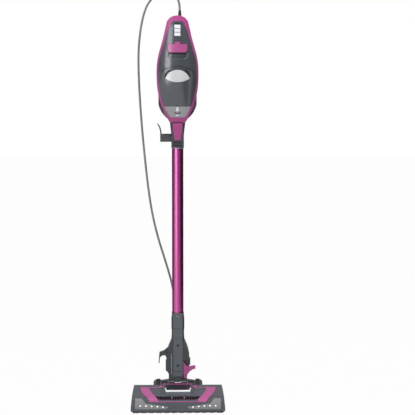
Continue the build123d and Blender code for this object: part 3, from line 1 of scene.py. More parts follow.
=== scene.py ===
from math import cos, pi, radians, sin
import bpy
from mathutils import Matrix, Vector


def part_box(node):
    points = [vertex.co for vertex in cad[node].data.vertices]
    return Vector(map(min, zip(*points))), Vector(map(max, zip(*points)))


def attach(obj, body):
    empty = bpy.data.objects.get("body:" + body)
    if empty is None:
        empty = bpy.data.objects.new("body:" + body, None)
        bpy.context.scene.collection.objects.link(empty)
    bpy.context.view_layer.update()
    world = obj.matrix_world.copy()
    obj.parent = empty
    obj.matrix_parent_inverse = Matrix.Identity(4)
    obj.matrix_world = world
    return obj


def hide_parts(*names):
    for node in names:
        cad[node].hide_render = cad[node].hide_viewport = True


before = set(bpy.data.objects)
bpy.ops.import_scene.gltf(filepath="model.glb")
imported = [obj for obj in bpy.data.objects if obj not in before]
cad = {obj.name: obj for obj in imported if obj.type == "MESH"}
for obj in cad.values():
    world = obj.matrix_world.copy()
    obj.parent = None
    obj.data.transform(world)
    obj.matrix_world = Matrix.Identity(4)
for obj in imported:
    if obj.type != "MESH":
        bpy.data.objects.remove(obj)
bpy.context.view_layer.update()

# Camera: a long lens in front of the machine, a little above hip height and turned slightly down.
# The height of the view and its middle are measured in the upright plane through the wand's axis.
tube_low, tube_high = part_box("wand_tube")
wand_y = (tube_low.y + tube_high.y) / 2
eye_distance = 4.0
eye_height = 0.850
view_height = 1.2456
middle_x = 0.0894
middle_z = 0.5960
eye_spot = Vector((0, wand_y - eye_distance, eye_height))
eye_aim = Vector((middle_x, wand_y, middle_z)) - eye_spot
eye = bpy.data.cameras.new("eye")
eye.sensor_width = 36
eye.lens = eye.sensor_width * eye_aim.length / view_height
camera = bpy.data.objects.new("eye", eye)
bpy.context.scene.collection.objects.link(camera)
camera.location = eye_spot
camera.rotation_euler = eye_aim.to_track_quat("-Z", "Y").to_euler()
bpy.context.scene.camera = camera
bpy.context.scene.view_settings.view_transform = "Standard"


# Room: white where the camera or a clear piece looks at it, plain soft light on the machine. Reflections
# see white behind the machine and a dim studio in front, brighter on the left than on the right.
def recipe_step(owner, kind, sockets=(), **settings):
    """One step in the recipe of the room or of a paint: each socket gets a value or an output to feed it."""
    step = owner.node_tree.nodes.new(kind)
    for setting, choice in settings.items():
        setattr(step, setting, choice)
    for socket, value in dict(sockets).items():
        if isinstance(value, bpy.types.NodeSocket):
            owner.node_tree.links.new(value, step.inputs[socket])
        else:
            step.inputs[socket].default_value = value
    return step


def looked_at(owner):
    """Light path, and an output that is 1 for the camera, through a clear piece and in a reflection."""
    path = recipe_step(owner, "ShaderNodeLightPath")
    seen = path.outputs["Is Camera Ray"]
    for ray in ("Is Transmission Ray", "Is Glossy Ray"):
        either = recipe_step(owner, "ShaderNodeMath", {0: seen, 1: path.outputs[ray]}, operation="MAXIMUM")
        seen = either.outputs[0]
    return path, seen


room_light = 0.62
pure_white = (1, 1, 1, 1)
white_from, white_all = 0.88, 0.97
studio_left = (0.10, 0.10, 0.105, 1)
studio_right = (0.03, 0.03, 0.035, 1)
studio_levels = ((0.22, 0.34), (0.45, 0.30), (0.62, 0.10))
studio_cool = 1.02
mix_a, mix_b, mix_out = 6, 7, 2
world = bpy.data.worlds.new("room")
bpy.context.scene.world = world
world.use_nodes = True
path, seen = looked_at(world)
strength = recipe_step(world, "ShaderNodeMapRange", {"Value": seen, "To Min": room_light, "To Max": 1.0})
direction = recipe_step(world, "ShaderNodeTexCoord")
split = recipe_step(world, "ShaderNodeSeparateXYZ", {"Vector": direction.outputs["Generated"]})
sideways = recipe_step(world, "ShaderNodeMapRange", {"Value": split.outputs["X"], "From Min": -1.0})
studio = recipe_step(world, "ShaderNodeValToRGB", {"Fac": sideways.outputs["Result"]})
studio.color_ramp.elements[0].position = 0.0
studio.color_ramp.elements[0].color = studio_left
studio.color_ramp.elements[1].position = 1.0
studio.color_ramp.elements[1].color = studio_right
for position, level in studio_levels:
    stop = studio.color_ramp.elements.new(position)
    stop.color = (level, level, level * studio_cool, 1)
behind = recipe_step(world, "ShaderNodeMapRange", {"Value": split.outputs["Y"], "From Min": white_from,
                                                   "From Max": white_all})
surround = recipe_step(world, "ShaderNodeMix", {"Factor": behind.outputs["Result"], mix_b: pure_white,
                                                mix_a: studio.outputs["Color"]}, data_type="RGBA")
only_mirrored = recipe_step(world, "ShaderNodeMix", {"Factor": path.outputs["Is Glossy Ray"],
                                                     mix_a: pure_white, mix_b: surround.outputs[mix_out]},
                            data_type="RGBA")
background = world.node_tree.nodes["Background"]
world.node_tree.links.new(strength.outputs["Result"], background.inputs["Strength"])
world.node_tree.links.new(only_mirrored.outputs[mix_out], background.inputs["Color"])


# Lights: four soft boxes. The key stands at the left, a weaker fill and a narrow edge light stand at the
# right, and the last hangs overhead. The fill and the overhead one show in no reflection.
def soft_box(name, spot, look_at, size, power, mirrored_too=True):
    """Rectangular lamp of a width and height, in watts, that stands at a spot and faces a point."""
    light = bpy.data.lights.new(name, "AREA")
    light.shape = "RECTANGLE"
    light.size, light.size_y = size
    light.energy = power
    lamp = bpy.data.objects.new(name, light)
    lamp.location = spot
    lamp.visible_glossy = mirrored_too
    lamp.rotation_euler = (Vector(look_at) - Vector(spot)).to_track_quat("-Z", "Y").to_euler()
    bpy.context.scene.collection.objects.link(lamp)


soft_box("key", (-1.5, -2.4, 1.45), look_at=(0, 0, 0.7), size=(0.9, 2.5), power=36)
soft_box("fill", (1.5, -2.7, 1.1), look_at=(0, 0, 0.6), size=(0.5, 1.6), power=10, mirrored_too=False)
soft_box("edge", (2.0, -1.0, 1.35), look_at=(0, 0, 1.0), size=(0.30, 0.9), power=3)
soft_box("top", (0, -0.2, 2.9), look_at=(0, -0.1, 0.3), size=(1.4, 1.0), power=44, mirrored_too=False)


# Floor: a wide flat sheet in matt white paint. It keeps a part of the machine's shadow, and glows nearly
# white wherever it is looked at.
def new_paint(name, **finish):
    """Paint and its skin; finish gives the skin's settings, with underscores for spaces."""
    paint = bpy.data.materials.new(name)
    paint.use_nodes = True
    skin = paint.node_tree.nodes["Principled BSDF"]
    for setting, value in finish.items():
        skin.inputs[setting.replace("_", " ")].default_value = value
    return paint, skin


def glowing_paint(name, colour, share):
    """Matt paint of which a share glows white wherever it is looked at."""
    paint, matt = new_paint(name, Base_Color=colour, Roughness=0.9)
    glow = recipe_step(paint, "ShaderNodeEmission")
    part_of = recipe_step(paint, "ShaderNodeMapRange", {"Value": looked_at(paint)[1], "To Max": share})
    mix = recipe_step(paint, "ShaderNodeMixShader", {"Fac": part_of.outputs["Result"], 1: matt.outputs[0],
                                                     2: glow.outputs[0]})
    paint.node_tree.links.new(mix.outputs[0], paint.node_tree.nodes["Material Output"].inputs["Surface"])
    return paint


floor_side = 60
bpy.ops.mesh.primitive_plane_add(size=floor_side, location=(0, 0, 0))
floor = bpy.context.object
floor.name = "floor"
floor.data.materials.append(glowing_paint("floor_white", (0.40, 0.40, 0.40, 1), share=0.975))


# Flags: four matt cards that only reflections show, black or grey by their level. They stand at both
# sides and high behind the machine, and give the tube and the glossy shells their dark edges.
def flag(name, middle, width, height, turn, level=0.012):
    """Upright card of a width and height, turned about Z, whose level is its grey from 0 to 1."""
    bpy.ops.object.select_all(action="DESELECT")
    bpy.ops.mesh.primitive_plane_add(size=1, location=middle, rotation=(pi / 2, 0, turn))
    card = bpy.context.object
    card.name = name
    card.scale = (width, height, 1)
    card.data.materials.append(new_paint(name, Base_Color=(level, level, level, 1), Roughness=1.0)[0])
    card.visible_camera = False
    card.visible_diffuse = False
    card.visible_transmission = False
    card.visible_shadow = False


flag("flag_right", (1.0, 0.35, 1.1), width=2.5, height=2.2, turn=pi / 2)
flag("flag_grey", (0.72, -1.65, 1.1), width=1.45, height=2.2, turn=pi / 2, level=0.16)
flag("flag_left", (-1.0, 1.15, 1.1), width=2.3, height=2.2, turn=pi / 2, level=0.03)
flag("flag_high", (0.0, 1.7, 1.55), width=3.4, height=1.7, turn=0, level=0.30)


# Mains cord: a rubber-sheathed flex that leaves the top of the handle, arches over to one side and hangs
# behind the wand. The rest is wound in a tied coil behind the head, with its moulded plug beside it.
def own_place(paint):
    """The piece's own coordinates, for a paint's patterns to lie on."""
    return recipe_step(paint, "ShaderNodeTexCoord").outputs["Object"]


def blots(paint, place, scale, detail=2):
    """Pattern of soft blots, finer with a larger scale."""
    pattern = recipe_step(paint, "ShaderNodeTexNoise", {"Vector": place, "Scale": scale, "Detail": detail})
    return pattern.outputs["Fac"]


def tint(paint, skin, pattern, colour, dark, light, dark_to=0.3, light_from=0.7):
    """Let the colour drift with a pattern, between its dark and its light share."""
    tone = recipe_step(paint, "ShaderNodeValToRGB", {"Fac": pattern})
    for stop, position, share in zip(tone.color_ramp.elements, (dark_to, light_from), (dark, light)):
        stop.position = position
        stop.color = (*[min(1, c * share) for c in colour], 1)
    paint.node_tree.links.new(tone.outputs["Color"], skin.inputs["Base Color"])


def wear(paint, skin, pattern, smoothest, roughest):
    """Let the gloss drift with a pattern."""
    limits = {"Value": pattern, "To Min": smoothest, "To Max": roughest}
    gloss = recipe_step(paint, "ShaderNodeMapRange", limits)
    paint.node_tree.links.new(gloss.outputs["Result"], skin.inputs["Roughness"])


def emboss(paint, skin, pattern, depth, **under):
    """Press a fine pattern into the skin, over the rounding under it if there is one."""
    press = {"Height": pattern, "Strength": depth, "Distance": 0.0003}
    embossed = recipe_step(paint, "ShaderNodeBump", press | under)
    paint.node_tree.links.new(embossed.outputs["Normal"], skin.inputs["Normal"])


def rubbery(name, colour, rough=0.55, grain=900, depth=0.12, shine=0.0):
    """Soft rubber, foam or nylon: a fine matt skin with faint cloudy patches."""
    paint, skin = new_paint(name, Coat_Weight=shine)
    place = own_place(paint)
    patches = blots(paint, place, scale=35, detail=4)
    tint(paint, skin, patches, colour, dark=0.82, light=1.12, dark_to=0.35, light_from=0.65)
    wear(paint, skin, patches, rough - 0.06, rough + 0.08)
    emboss(paint, skin, blots(paint, place, grain), depth)
    return paint


cord_d = 0.0065
cord_route = [
    (0.0070, 0.0845, 1.1880), (0.0070, 0.0845, 1.2140), (-0.0080, 0.0855, 1.2350),
    (-0.0340, 0.0875, 1.2430), (-0.0640, 0.0900, 1.2360), (-0.0880, 0.0910, 1.2130),
    (-0.1030, 0.0920, 1.1760), (-0.1130, 0.0920, 1.1250), (-0.1185, 0.0920, 1.0650),
    (-0.1180, 0.0920, 0.9950), (-0.1140, 0.0925, 0.9150), (-0.1080, 0.0930, 0.8300),
    (-0.1000, 0.0940, 0.7450), (-0.0910, 0.0950, 0.6600), (-0.0790, 0.0960, 0.5770),
    (-0.0610, 0.0970, 0.5000), (-0.0380, 0.0985, 0.4280), (-0.0170, 0.1000, 0.3560),
    (-0.0050, 0.1015, 0.2820), (-0.0010, 0.1030, 0.2100), (-0.0010, 0.1040, 0.1550),
    (-0.0050, 0.1060, 0.1080), (-0.0170, 0.1130, 0.0670), (-0.0360, 0.1280, 0.0350),
    (-0.0530, 0.1510, 0.0140), (-0.0600, 0.1780, 0.0055),
]
free_end = [
    (-0.06075, 0.205, 0.02925), (-0.06075, 0.231, 0.02925), (-0.06075, 0.267, 0.0075),
    (-0.06075, 0.293, 0.0075),
]
coil_middle_y = 0.205
coil_r_out = 0.06075
coil_r_in = 0.03325
coil_lift = 0.0003
coil_turns = 21
rings = 5
turn_points = 16
shift_from = 0.75


def turn_place(number):
    """Radius and height of a turn: each layer fills its rings from outside in, and the next one back."""
    level, ring = divmod(number, rings)
    if level % 2:
        ring = rings - 1 - ring
    return (coil_r_out - (coil_r_out - coil_r_in) * ring / (rings - 1),
            cord_d / 2 + coil_lift + level * cord_d)


coil_points = []
for turn in range(coil_turns):
    (radius_now, height_now), (radius_next, height_next) = turn_place(turn), turn_place(turn + 1)
    for i in range(turn_points):
        share = (i + 0.5) / turn_points
        angle = pi - 2 * pi * share
        ease = max(0, share - shift_from) / (1 - shift_from)
        radius = radius_now + (radius_next - radius_now) * ease
        height = height_now + (height_next - height_now) * ease
        coil_points.append((radius * cos(angle), coil_middle_y + radius * sin(angle), height))
lead_points = cord_route + coil_points + free_end
lead_curve = bpy.data.curves.new("mains_lead", "CURVE")
lead_curve.dimensions = "3D"
lead_curve.bevel_depth = cord_d / 2
lead_curve.bevel_resolution = 3
lead_curve.resolution_u = 4
lead_curve.use_fill_caps = True
line = lead_curve.splines.new("NURBS")
line.points.add(len(lead_points) - 1)
for point, place in zip(line.points, lead_points):
    point.co = (*place, 1)
line.order_u = 3
line.use_endpoint_u = True
lead = bpy.data.objects.new("mains_lead", lead_curve)
bpy.context.scene.collection.objects.link(lead)
lead_curve.materials.append(rubbery("cord_sheath", (0.185, 0.185, 0.195), rough=0.42, grain=600, shine=0.15))
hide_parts("cord", "cord_coil")
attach(lead, "hand_unit")


# Strain relief: a tapered rubber sleeve with open ribs, moulded onto the cord where it leaves the handle.
# Its foot is held between the two halves of the housing.
def only(piece):
    """Select one piece and nothing else."""
    bpy.ops.object.select_all(action="DESELECT")
    piece.select_set(True)
    bpy.context.view_layer.objects.active = piece


def finished(piece, name, paint, body, smooth=False):
    """Apply a piece's modifiers and place, give it its finish and its body, and smooth its round faces."""
    only(piece)
    piece.name = name
    for modifier in list(piece.modifiers):
        bpy.ops.object.modifier_apply(modifier=modifier.name)
    bpy.ops.object.transform_apply(location=True, rotation=True, scale=True)
    piece.data.materials.clear()
    piece.data.materials.append(paint)
    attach(piece, body)
    if smooth:
        bpy.ops.object.shade_smooth_by_angle(angle=radians(40))
    return piece


def dress(paint, *names):
    """Give CAD pieces their finish."""
    for name in names:
        cad[name].data.materials.clear()
        cad[name].data.materials.append(paint)


def turned(name, start, radii, sides=32):
    """Round piece built upwards ring by ring: radii are (rise, radius) pairs from a capped foot."""
    bpy.ops.object.select_all(action="DESELECT")
    bpy.ops.mesh.primitive_circle_add(vertices=sides, radius=radii[0][1], fill_type="NGON", location=start)
    piece = bpy.context.object
    piece.name = name
    bpy.ops.object.mode_set(mode="EDIT")
    bpy.ops.mesh.select_all(action="SELECT")
    height, last = start[2], radii[0][1]
    for rise, radius in radii[1:]:
        bpy.ops.mesh.extrude_region_move(TRANSFORM_OT_translate={"value": (0, 0, rise)})
        height += rise
        share = radius / last
        bpy.ops.transform.resize(value=(share, share, 1), center_override=(start[0], start[1], height))
        last = radius
    bpy.ops.mesh.select_all(action="SELECT")
    bpy.ops.mesh.normals_make_consistent(inside=False)
    bpy.ops.object.mode_set(mode="OBJECT")
    return piece


black_rubber = rubbery("black_rubber", (0.022, 0.022, 0.024), rough=0.6)
relief_low, relief_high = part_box("strain_relief")
relief_x, relief_y = (relief_low.x + relief_high.x) / 2, (relief_low.y + relief_high.y) / 2
relief_foot_r = (relief_high.x - relief_low.x) / 2
relief_top_r = 0.0043
relief_foot_rise = 0.011
relief_ribs = 7
rib_rise = (relief_high.z - relief_low.z - relief_foot_rise) / relief_ribs
rib_steps = ((0.08, 0.0008), (0.34, 0.0009), (0.08, 0), (0.5, 0.0002))
relief_shape = [(0, relief_foot_r), (relief_foot_rise, relief_foot_r)]
for rib in range(relief_ribs):
    rib_r = relief_foot_r + (relief_top_r - relief_foot_r) * (rib + 1) / relief_ribs
    relief_shape += [(rib_rise * share, rib_r - below) for share, below in rib_steps]
relief = turned("relief_sleeve", (relief_x, relief_y, relief_low.z), relief_shape)
softened = relief.modifiers.new("soft_edges", "BEVEL")
softened.width = 0.0002
softened.segments = 2
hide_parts("strain_relief")
finished(relief, "relief_sleeve", black_rubber, "hand_unit", smooth=True)


# Plug and tie: the plug is moulded on the cord's end and has two flat plated blades; the tie is a rubber
# strap round the wound turns.
def drawn_metal(name, colour, rough, contrast=0.16, coat=0.0):
    """Metal drawn or turned along Z: fine lines in tone and roughness."""
    paint, skin = new_paint(name, Metallic=1.0, Coat_Weight=coat)
    across, along = 260, 3
    stretch = {"Vector": own_place(paint), "Scale": (across, across, along)}
    stretched = recipe_step(paint, "ShaderNodeMapping", stretch).outputs["Vector"]
    lines = blots(paint, stretched, scale=3, detail=5)
    tint(paint, skin, lines, colour, dark=1 - contrast, light=1 + contrast)
    wear(paint, skin, lines, rough - 0.05, rough + 0.07)
    return paint


dress(black_rubber, "cord_tie", "plug_body")
dress(drawn_metal("plated_brass", (0.78, 0.60, 0.28), rough=0.28), "plug_blades")


# Floor head: a charcoal base plate with a slate hood screwed onto it, both injection-moulded. Two rubber
# feet and a ribbed bumper strip are pressed in under the front edge.
def moulded(name, colour, rough=0.35, coat=0.3, depth=0.05, edge=0.0008, **finish):
    """Moulded plastic: slow drift of tone, a fine spark texture and softly rounded edges."""
    drift = 0.06
    grain = 700
    paint, skin = new_paint(name, Coat_Weight=coat, Coat_Roughness=0.12, **finish)
    place = own_place(paint)
    tint(paint, skin, blots(paint, place, scale=14, detail=3), colour, dark=1 - drift, light=1 + drift)
    wear(paint, skin, blots(paint, place, scale=90, detail=6), max(0.02, rough - 0.05), rough + 0.06)
    rounding = recipe_step(paint, "ShaderNodeBevel", {"Radius": edge})
    emboss(paint, skin, blots(paint, place, grain), depth, Normal=rounding.outputs["Normal"])
    return paint


slate = moulded("slate_plastic", (0.066, 0.075, 0.086), rough=0.30, coat=0.40)
charcoal = moulded("charcoal_plastic", (0.028, 0.032, 0.038), rough=0.42, coat=0.2)
dress(moulded("hood_slate", (0.066, 0.074, 0.085), rough=0.38, coat=0.25), "top_shell")
dress(charcoal, "base_plate")
dress(moulded("ash_plastic", (0.105, 0.110, 0.118), rough=0.45, coat=0.1), "bumper_strip")
dress(black_rubber, "front_feet")

# Trim of the head: a magenta band glued round the hood's rear and down both sides of the window, with a
# dark name panel in the middle that a bright plated surround frames. The panel is left bare.
magenta = moulded("magenta_plastic", (0.350, 0.048, 0.205), rough=0.34, coat=0.25)
dress(moulded("band_magenta", (0.375, 0.076, 0.228), rough=0.42, coat=0.1), "trim_band")
dress(moulded("panel_black", (0.020, 0.022, 0.026), rough=0.35, coat=0.2), "badge_panel")
# Bright plating for the badge's surround, and for a painted highlight on the tilt yoke.
bright = moulded("bright_plating_and_highlight", (0.80, 0.81, 0.83), rough=0.22, coat=0.5, edge=0.0005)
dress(bright, "badge_rim")


# Window and lamp covers: clear mouldings that snap into the hood, smoked over the brush and frosted over
# the lamps at both sides.
def clear(name, colour, rough, cover):
    """Tinted clear plastic with a glossy skin; cover is the share of light that it holds back."""
    return moulded(name, colour, rough=rough, coat=0.4, depth=0.02, Alpha=cover)


dress(clear("smoked_window", (0.020, 0.017, 0.019), rough=0.14, cover=0.20), "brush_window")
dress(clear("frosted_lens", (0.215, 0.215, 0.222), rough=0.35, cover=0.94), "lamp_lenses")
dress(moulded("lamp_white", (0.9, 0.9, 0.88), rough=0.3), "lamps")


# Lamp tips: five small light diodes in a row behind each lamp cover, whose domed ends show in its face.
# They are epoxy domes in white reflector cups on one circuit board a side.
def drop_on(node, x, z, way=(0, 1, 0)):
    """Point and normal where a line from outside first meets a CAD piece; x and z are across that line."""
    start_far = 0.6
    sight = Vector(way)
    start = Vector((x, 0, z)) - sight * start_far if way[1] else Vector((0, x, z)) - sight * start_far
    hit, place, normal, _ = cad[node].ray_cast(start, sight)
    return (place, normal) if hit else (None, None)


def joined(pieces):
    """Join copies into the first of them."""
    bpy.ops.object.select_all(action="DESELECT")
    for piece in pieces:
        piece.select_set(True)
    bpy.context.view_layer.objects.active = pieces[0]
    bpy.ops.object.join()
    return pieces[0]


diode_xs = (0.0440, 0.0606, 0.0772, 0.0938, 0.1104)
diode_zs = (0.0190, 0.0205, 0.0215, 0.0222, 0.0225)
diode_r = 0.0022
diode_sunk = 0.0004
diode_flatness = 0.35
diodes = []
for diode_x, diode_z in [(side * x, z) for side in (-1, 1) for x, z in zip(diode_xs, diode_zs)]:
    place, normal = drop_on("lamp_lenses", diode_x, diode_z)
    if place is None:
        continue
    bpy.ops.object.select_all(action="DESELECT")
    bpy.ops.mesh.primitive_uv_sphere_add(segments=16, ring_count=10, radius=diode_r, location=place,
                                         rotation=normal.to_track_quat("Z", "Y").to_euler())
    dome = bpy.context.object
    bpy.ops.object.mode_set(mode="EDIT")
    bpy.ops.mesh.select_all(action="SELECT")
    bpy.ops.mesh.bisect(plane_co=place - normal * diode_sunk, plane_no=normal, clear_inner=True,
                        use_fill=True)
    bpy.ops.object.mode_set(mode="OBJECT")
    dome.scale = (1, 1, diode_flatness)
    diodes.append(dome)
diode_white = moulded("diode_white", (0.95, 0.95, 0.95), rough=0.25, coat=0.5,
                      Emission_Color=(1, 1, 0.97, 1), Emission_Strength=0.35)
finished(joined(diodes), "lamp_tips", diode_white, "head", smooth=True)

# Brush roll: a plum plastic core on two bearing blocks, with nylon tufts set in rows that wind round it.
# Each tuft is pressed into its hole and flares towards the tips. The tufts wipe the floor.
brush_low, brush_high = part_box("bristles")
brush_y = (brush_low.y + brush_high.y) / 2
brush_z = (brush_low.z + brush_high.z) / 2
core_low, core_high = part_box("brush_core")
core_r = (core_high.z - core_low.z) / 2
tip_r = (brush_high.z - brush_low.z) / 2
tuft_length = tip_r - core_r
tuft_foot_r, tuft_middle_r, tuft_end_r = 0.0013, 0.0017, 0.0023
tuft_sunk = 0.0008
tuft_margin = 0.0035
tuft_rows = 5
tufts_a_row = 28
tuft_twist = 150
tufts = []
for row in range(tuft_rows):
    for number in range(tufts_a_row):
        along = number / (tufts_a_row - 1)
        tuft_x = brush_low.x + tuft_margin + (brush_high.x - brush_low.x - 2 * tuft_margin) * along
        turn = radians(360 / tuft_rows * row + tuft_twist * abs(along - 0.5) * 2)
        outwards = Vector((0, -sin(turn), cos(turn)))
        if not tufts:
            tuft = turned("tuft", (0, 0, 0), [(0, tuft_foot_r), (tuft_length / 2, tuft_middle_r),
                                              (tuft_length / 2, tuft_end_r)], sides=7)
        else:
            tuft = tufts[0].copy()
            tuft.data = tufts[0].data.copy()
            bpy.context.scene.collection.objects.link(tuft)
        tuft.location = Vector((tuft_x, brush_y, brush_z)) + outwards * (core_r - tuft_sunk)
        tuft.rotation_euler = outwards.to_track_quat("Z", "X").to_euler()
        tufts.append(tuft)
tuft_nylon = rubbery("tuft_nylon", (0.46, 0.085, 0.240), rough=0.7, grain=1500, depth=0.6)
brush_tufts = finished(joined(tufts), "brush_tufts", tuft_nylon, "brush_roll")
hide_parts("bristles")
dress(moulded("roller_plum", (0.13, 0.018, 0.06), rough=0.4), "brush_core")
steel = drawn_metal("plain_steel", (0.56, 0.57, 0.59), rough=0.32)
dress(steel, "brush_bearings")

# Duct flap: a soft rubber flap that hangs in the mouth of the head's air duct. Three moulded ribs keep it
# flat.
flap_half, flap_low, flap_high, flap_y = 0.0178, 0.0085, 0.0395, -0.0060
flap_wall = flap_rib_rise = 0.0012
flap_columns, flap_rows = 13, 6
flap_rib_columns = (2, 6, 10)
bpy.ops.object.select_all(action="DESELECT")
bpy.ops.mesh.primitive_grid_add(x_subdivisions=flap_columns, y_subdivisions=flap_rows, size=1,
                                rotation=(pi / 2, 0, 0), location=(0, flap_y, (flap_low + flap_high) / 2))
flap = bpy.context.object
flap.scale = (2 * flap_half, flap_high - flap_low, 1)
bpy.ops.object.transform_apply(location=True, rotation=True, scale=True)
bpy.ops.object.mode_set(mode="EDIT")
bpy.ops.mesh.select_mode(type="FACE")
bpy.ops.mesh.select_all(action="DESELECT")
bpy.ops.object.mode_set(mode="OBJECT")
for face in flap.data.polygons:
    column = round((face.center.x + flap_half) / (2 * flap_half) * flap_columns - 0.5)
    face.select = column in flap_rib_columns
bpy.ops.object.mode_set(mode="EDIT")
bpy.ops.mesh.extrude_region_move(TRANSFORM_OT_translate={"value": (0, -flap_rib_rise, 0)})
bpy.ops.object.mode_set(mode="OBJECT")
wall = flap.modifiers.new("wall", "SOLIDIFY")
wall.thickness = flap_wall
wall.offset = 0
finished(flap, "duct_flap", black_rubber, "head")

# Brush drive: a small motor in a steel can at one side, whose pinion turns the roll through a toothed
# rubber belt.
dress(steel, "brush_motor", "motor_pinion")
dress(black_rubber, "drive_belt")

# Rear wheels: black rubber tyres pressed on slate hubs, which turn on steel stub axles. Two charcoal
# blocks on the base plate hold the axles.
dress(black_rubber, "tyre_left", "tyre_right")
dress(slate, "wheel_hub_left", "wheel_hub_right")
dress(steel, "wheel_axles")
dress(charcoal, "pivot_blocks")


# Tilt yoke: a charcoal fork on the wheels' axis that lets the wand lean back, with the steel swivel pin
# through it. A bright line along its front edge is a painted highlight.
def surface_line(name, node, corners, paint, body, width, step=0.003, proud=0.0, way=(0, 1, 0),
                 closed=False):
    """Fine raised or scored line on a CAD piece's face, through corners given across the line of sight."""
    if closed:
        corners = list(corners) + [corners[0]]
    places = []
    for (x0, z0), (x1, z1) in zip(corners, corners[1:]):
        parts = max(1, round(((x1 - x0) ** 2 + (z1 - z0) ** 2) ** 0.5 / step))
        for part in range(parts):
            x, z = x0 + (x1 - x0) * part / parts, z0 + (z1 - z0) * part / parts
            places.append(drop_on(node, x, z, way))
    places.append(drop_on(node, *corners[-1], way))
    places = [place + normal * proud for place, normal in places if place is not None]
    curve = bpy.data.curves.new(name, "CURVE")
    curve.dimensions = "3D"
    curve.bevel_depth = width / 2
    curve.bevel_resolution = 1
    curve.use_fill_caps = True
    run = curve.splines.new("POLY")
    run.points.add(len(places) - 1)
    for point, place in zip(run.points, places):
        point.co = (*place, 1)
    piece = bpy.data.objects.new(name, curve)
    bpy.context.scene.collection.objects.link(piece)
    only(piece)
    bpy.ops.object.convert(target="MESH")
    return finished(bpy.context.object, name, paint, body)


dress(charcoal, "tilt_yoke")
dress(steel, "swivel_pin")
# Painted highlight: a bright line along the yoke's front edge.
yoke_highlight_corners = [(-0.0165, 0.0722), (-0.0100, 0.0702), (0.0, 0.0700), (0.0150, 0.0722)]
surface_line("yoke_edge_highlight", "tilt_yoke", yoke_highlight_corners, bright, "yoke", width=0.0024)

# Neck: a charcoal housing in two halves with the air duct inside. A slate plate covers its front, held by
# two sunk screws, and a cap closes each side. Fine joint lines cross the plate under a small pale triangle,
# and a pale line along one side of the housing is a painted highlight on its edge.
# Near-black paint for joint lines, grip lines, marks and the badge's surround, and for a painted shadow
# under the latch.
dark_lines_and_shadow = moulded("joint_line_and_shadow_black", (0.008, 0.009, 0.010), rough=0.6, coat=0.0)
# Pale paint for printed marks, and for a painted highlight round the collar's foot.
pale = moulded("pale_plastic", (0.36, 0.37, 0.39), rough=0.3, coat=0.4)
dress(slate, "neck_front_plate", "side_caps")
dress(charcoal, "neck_housing")
dress(moulded("blackened_screws", (0.012, 0.012, 0.014), rough=0.5, coat=0.0), "neck_screws", "pedal_pin")
seam_half = 0.0135
seams = ((0.2325, 0.0009), (0.2050, 0.0009), (0.1035, 0.0011))
for number, (seam_z, seam_width) in enumerate(seams, 1):
    surface_line(f"neck_seam_{number}", "neck_front_plate", [(-seam_half, seam_z), (seam_half, seam_z)],
                 dark_lines_and_shadow, "neck", width=seam_width)
# Painted highlight: a pale grey line down the housing's left edge.
edge_grey = moulded("neck_edge_grey", (0.27, 0.29, 0.31), rough=0.35, coat=0.3)
neck_highlight_corners = [(-0.0195, 0.1580), (-0.0195, 0.1100), (-0.0180, 0.0920)]
surface_line("neck_edge_highlight", "neck_housing", neck_highlight_corners, edge_grey, "neck", width=0.0020)
mark_corners = [(-0.0042, 0.2710), (0.0042, 0.2710), (0.0, 0.2645)]
surface_line("lift_mark", "neck_front_plate", mark_corners, pale, "neck", width=0.0008,
             closed=True)

# Hook and pedal: the lower cord hook is moulded with the left side of the neck. The magenta pedal swings
# on a pin at the right and frees the wand from the head.
dress(charcoal, "lower_hook")
dress(magenta, "release_pedal")

# Wand: a drawn aluminium tube, anodised magenta, with faint drawing lines along it. Its foot slides into
# the neck, and the collar is pressed on its top.
anodised = drawn_metal("anodised_magenta", (0.56, 0.105, 0.335), rough=0.30, contrast=0.06, coat=0.15)
dress(anodised, "wand_tube")

# Collar: a graphite socket pressed on the wand's top, with a magenta release button in its front, three
# black grip lines below the button and a thin pale ring at its foot, whose pale colour is a painted
# highlight on the foot's rim. The upper cord hook turns on a short barrel at its left.
collar_low, collar_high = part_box("collar")
graphite = moulded("graphite_plastic", (0.050, 0.056, 0.064), rough=0.38, coat=0.25)
dress(graphite, "collar", "hook_barrel", "cord_hook")
dress(magenta, "release_button")
grip_lines = 3
grip_half = 0.0120
grip_z, grip_pitch = 0.7815, 0.0055
for number in range(grip_lines):
    line_z = grip_z + grip_pitch * number
    surface_line(f"grip_line_{number + 1}", "collar", [(-grip_half, line_z), (grip_half, line_z)], dark_lines_and_shadow,
                 "wand", width=0.0030, proud=-0.0006)
# Painted highlight: a thin pale ring round the collar's foot.
collar_r = 0.0188
ring_sunk = 0.0006
ring_steps = ((0, -0.0004), (0.0005, 0.0004), (0.0016, 0.0004), (0.0005, -0.0002))
foot_rim_highlight = turned("collar_rim_highlight", (0, wand_y, collar_low.z - ring_sunk),
                   [(rise, collar_r + stand) for rise, stand in ring_steps], sides=64)
finished(foot_rim_highlight, "collar_rim_highlight", pale, "wand", smooth=True)

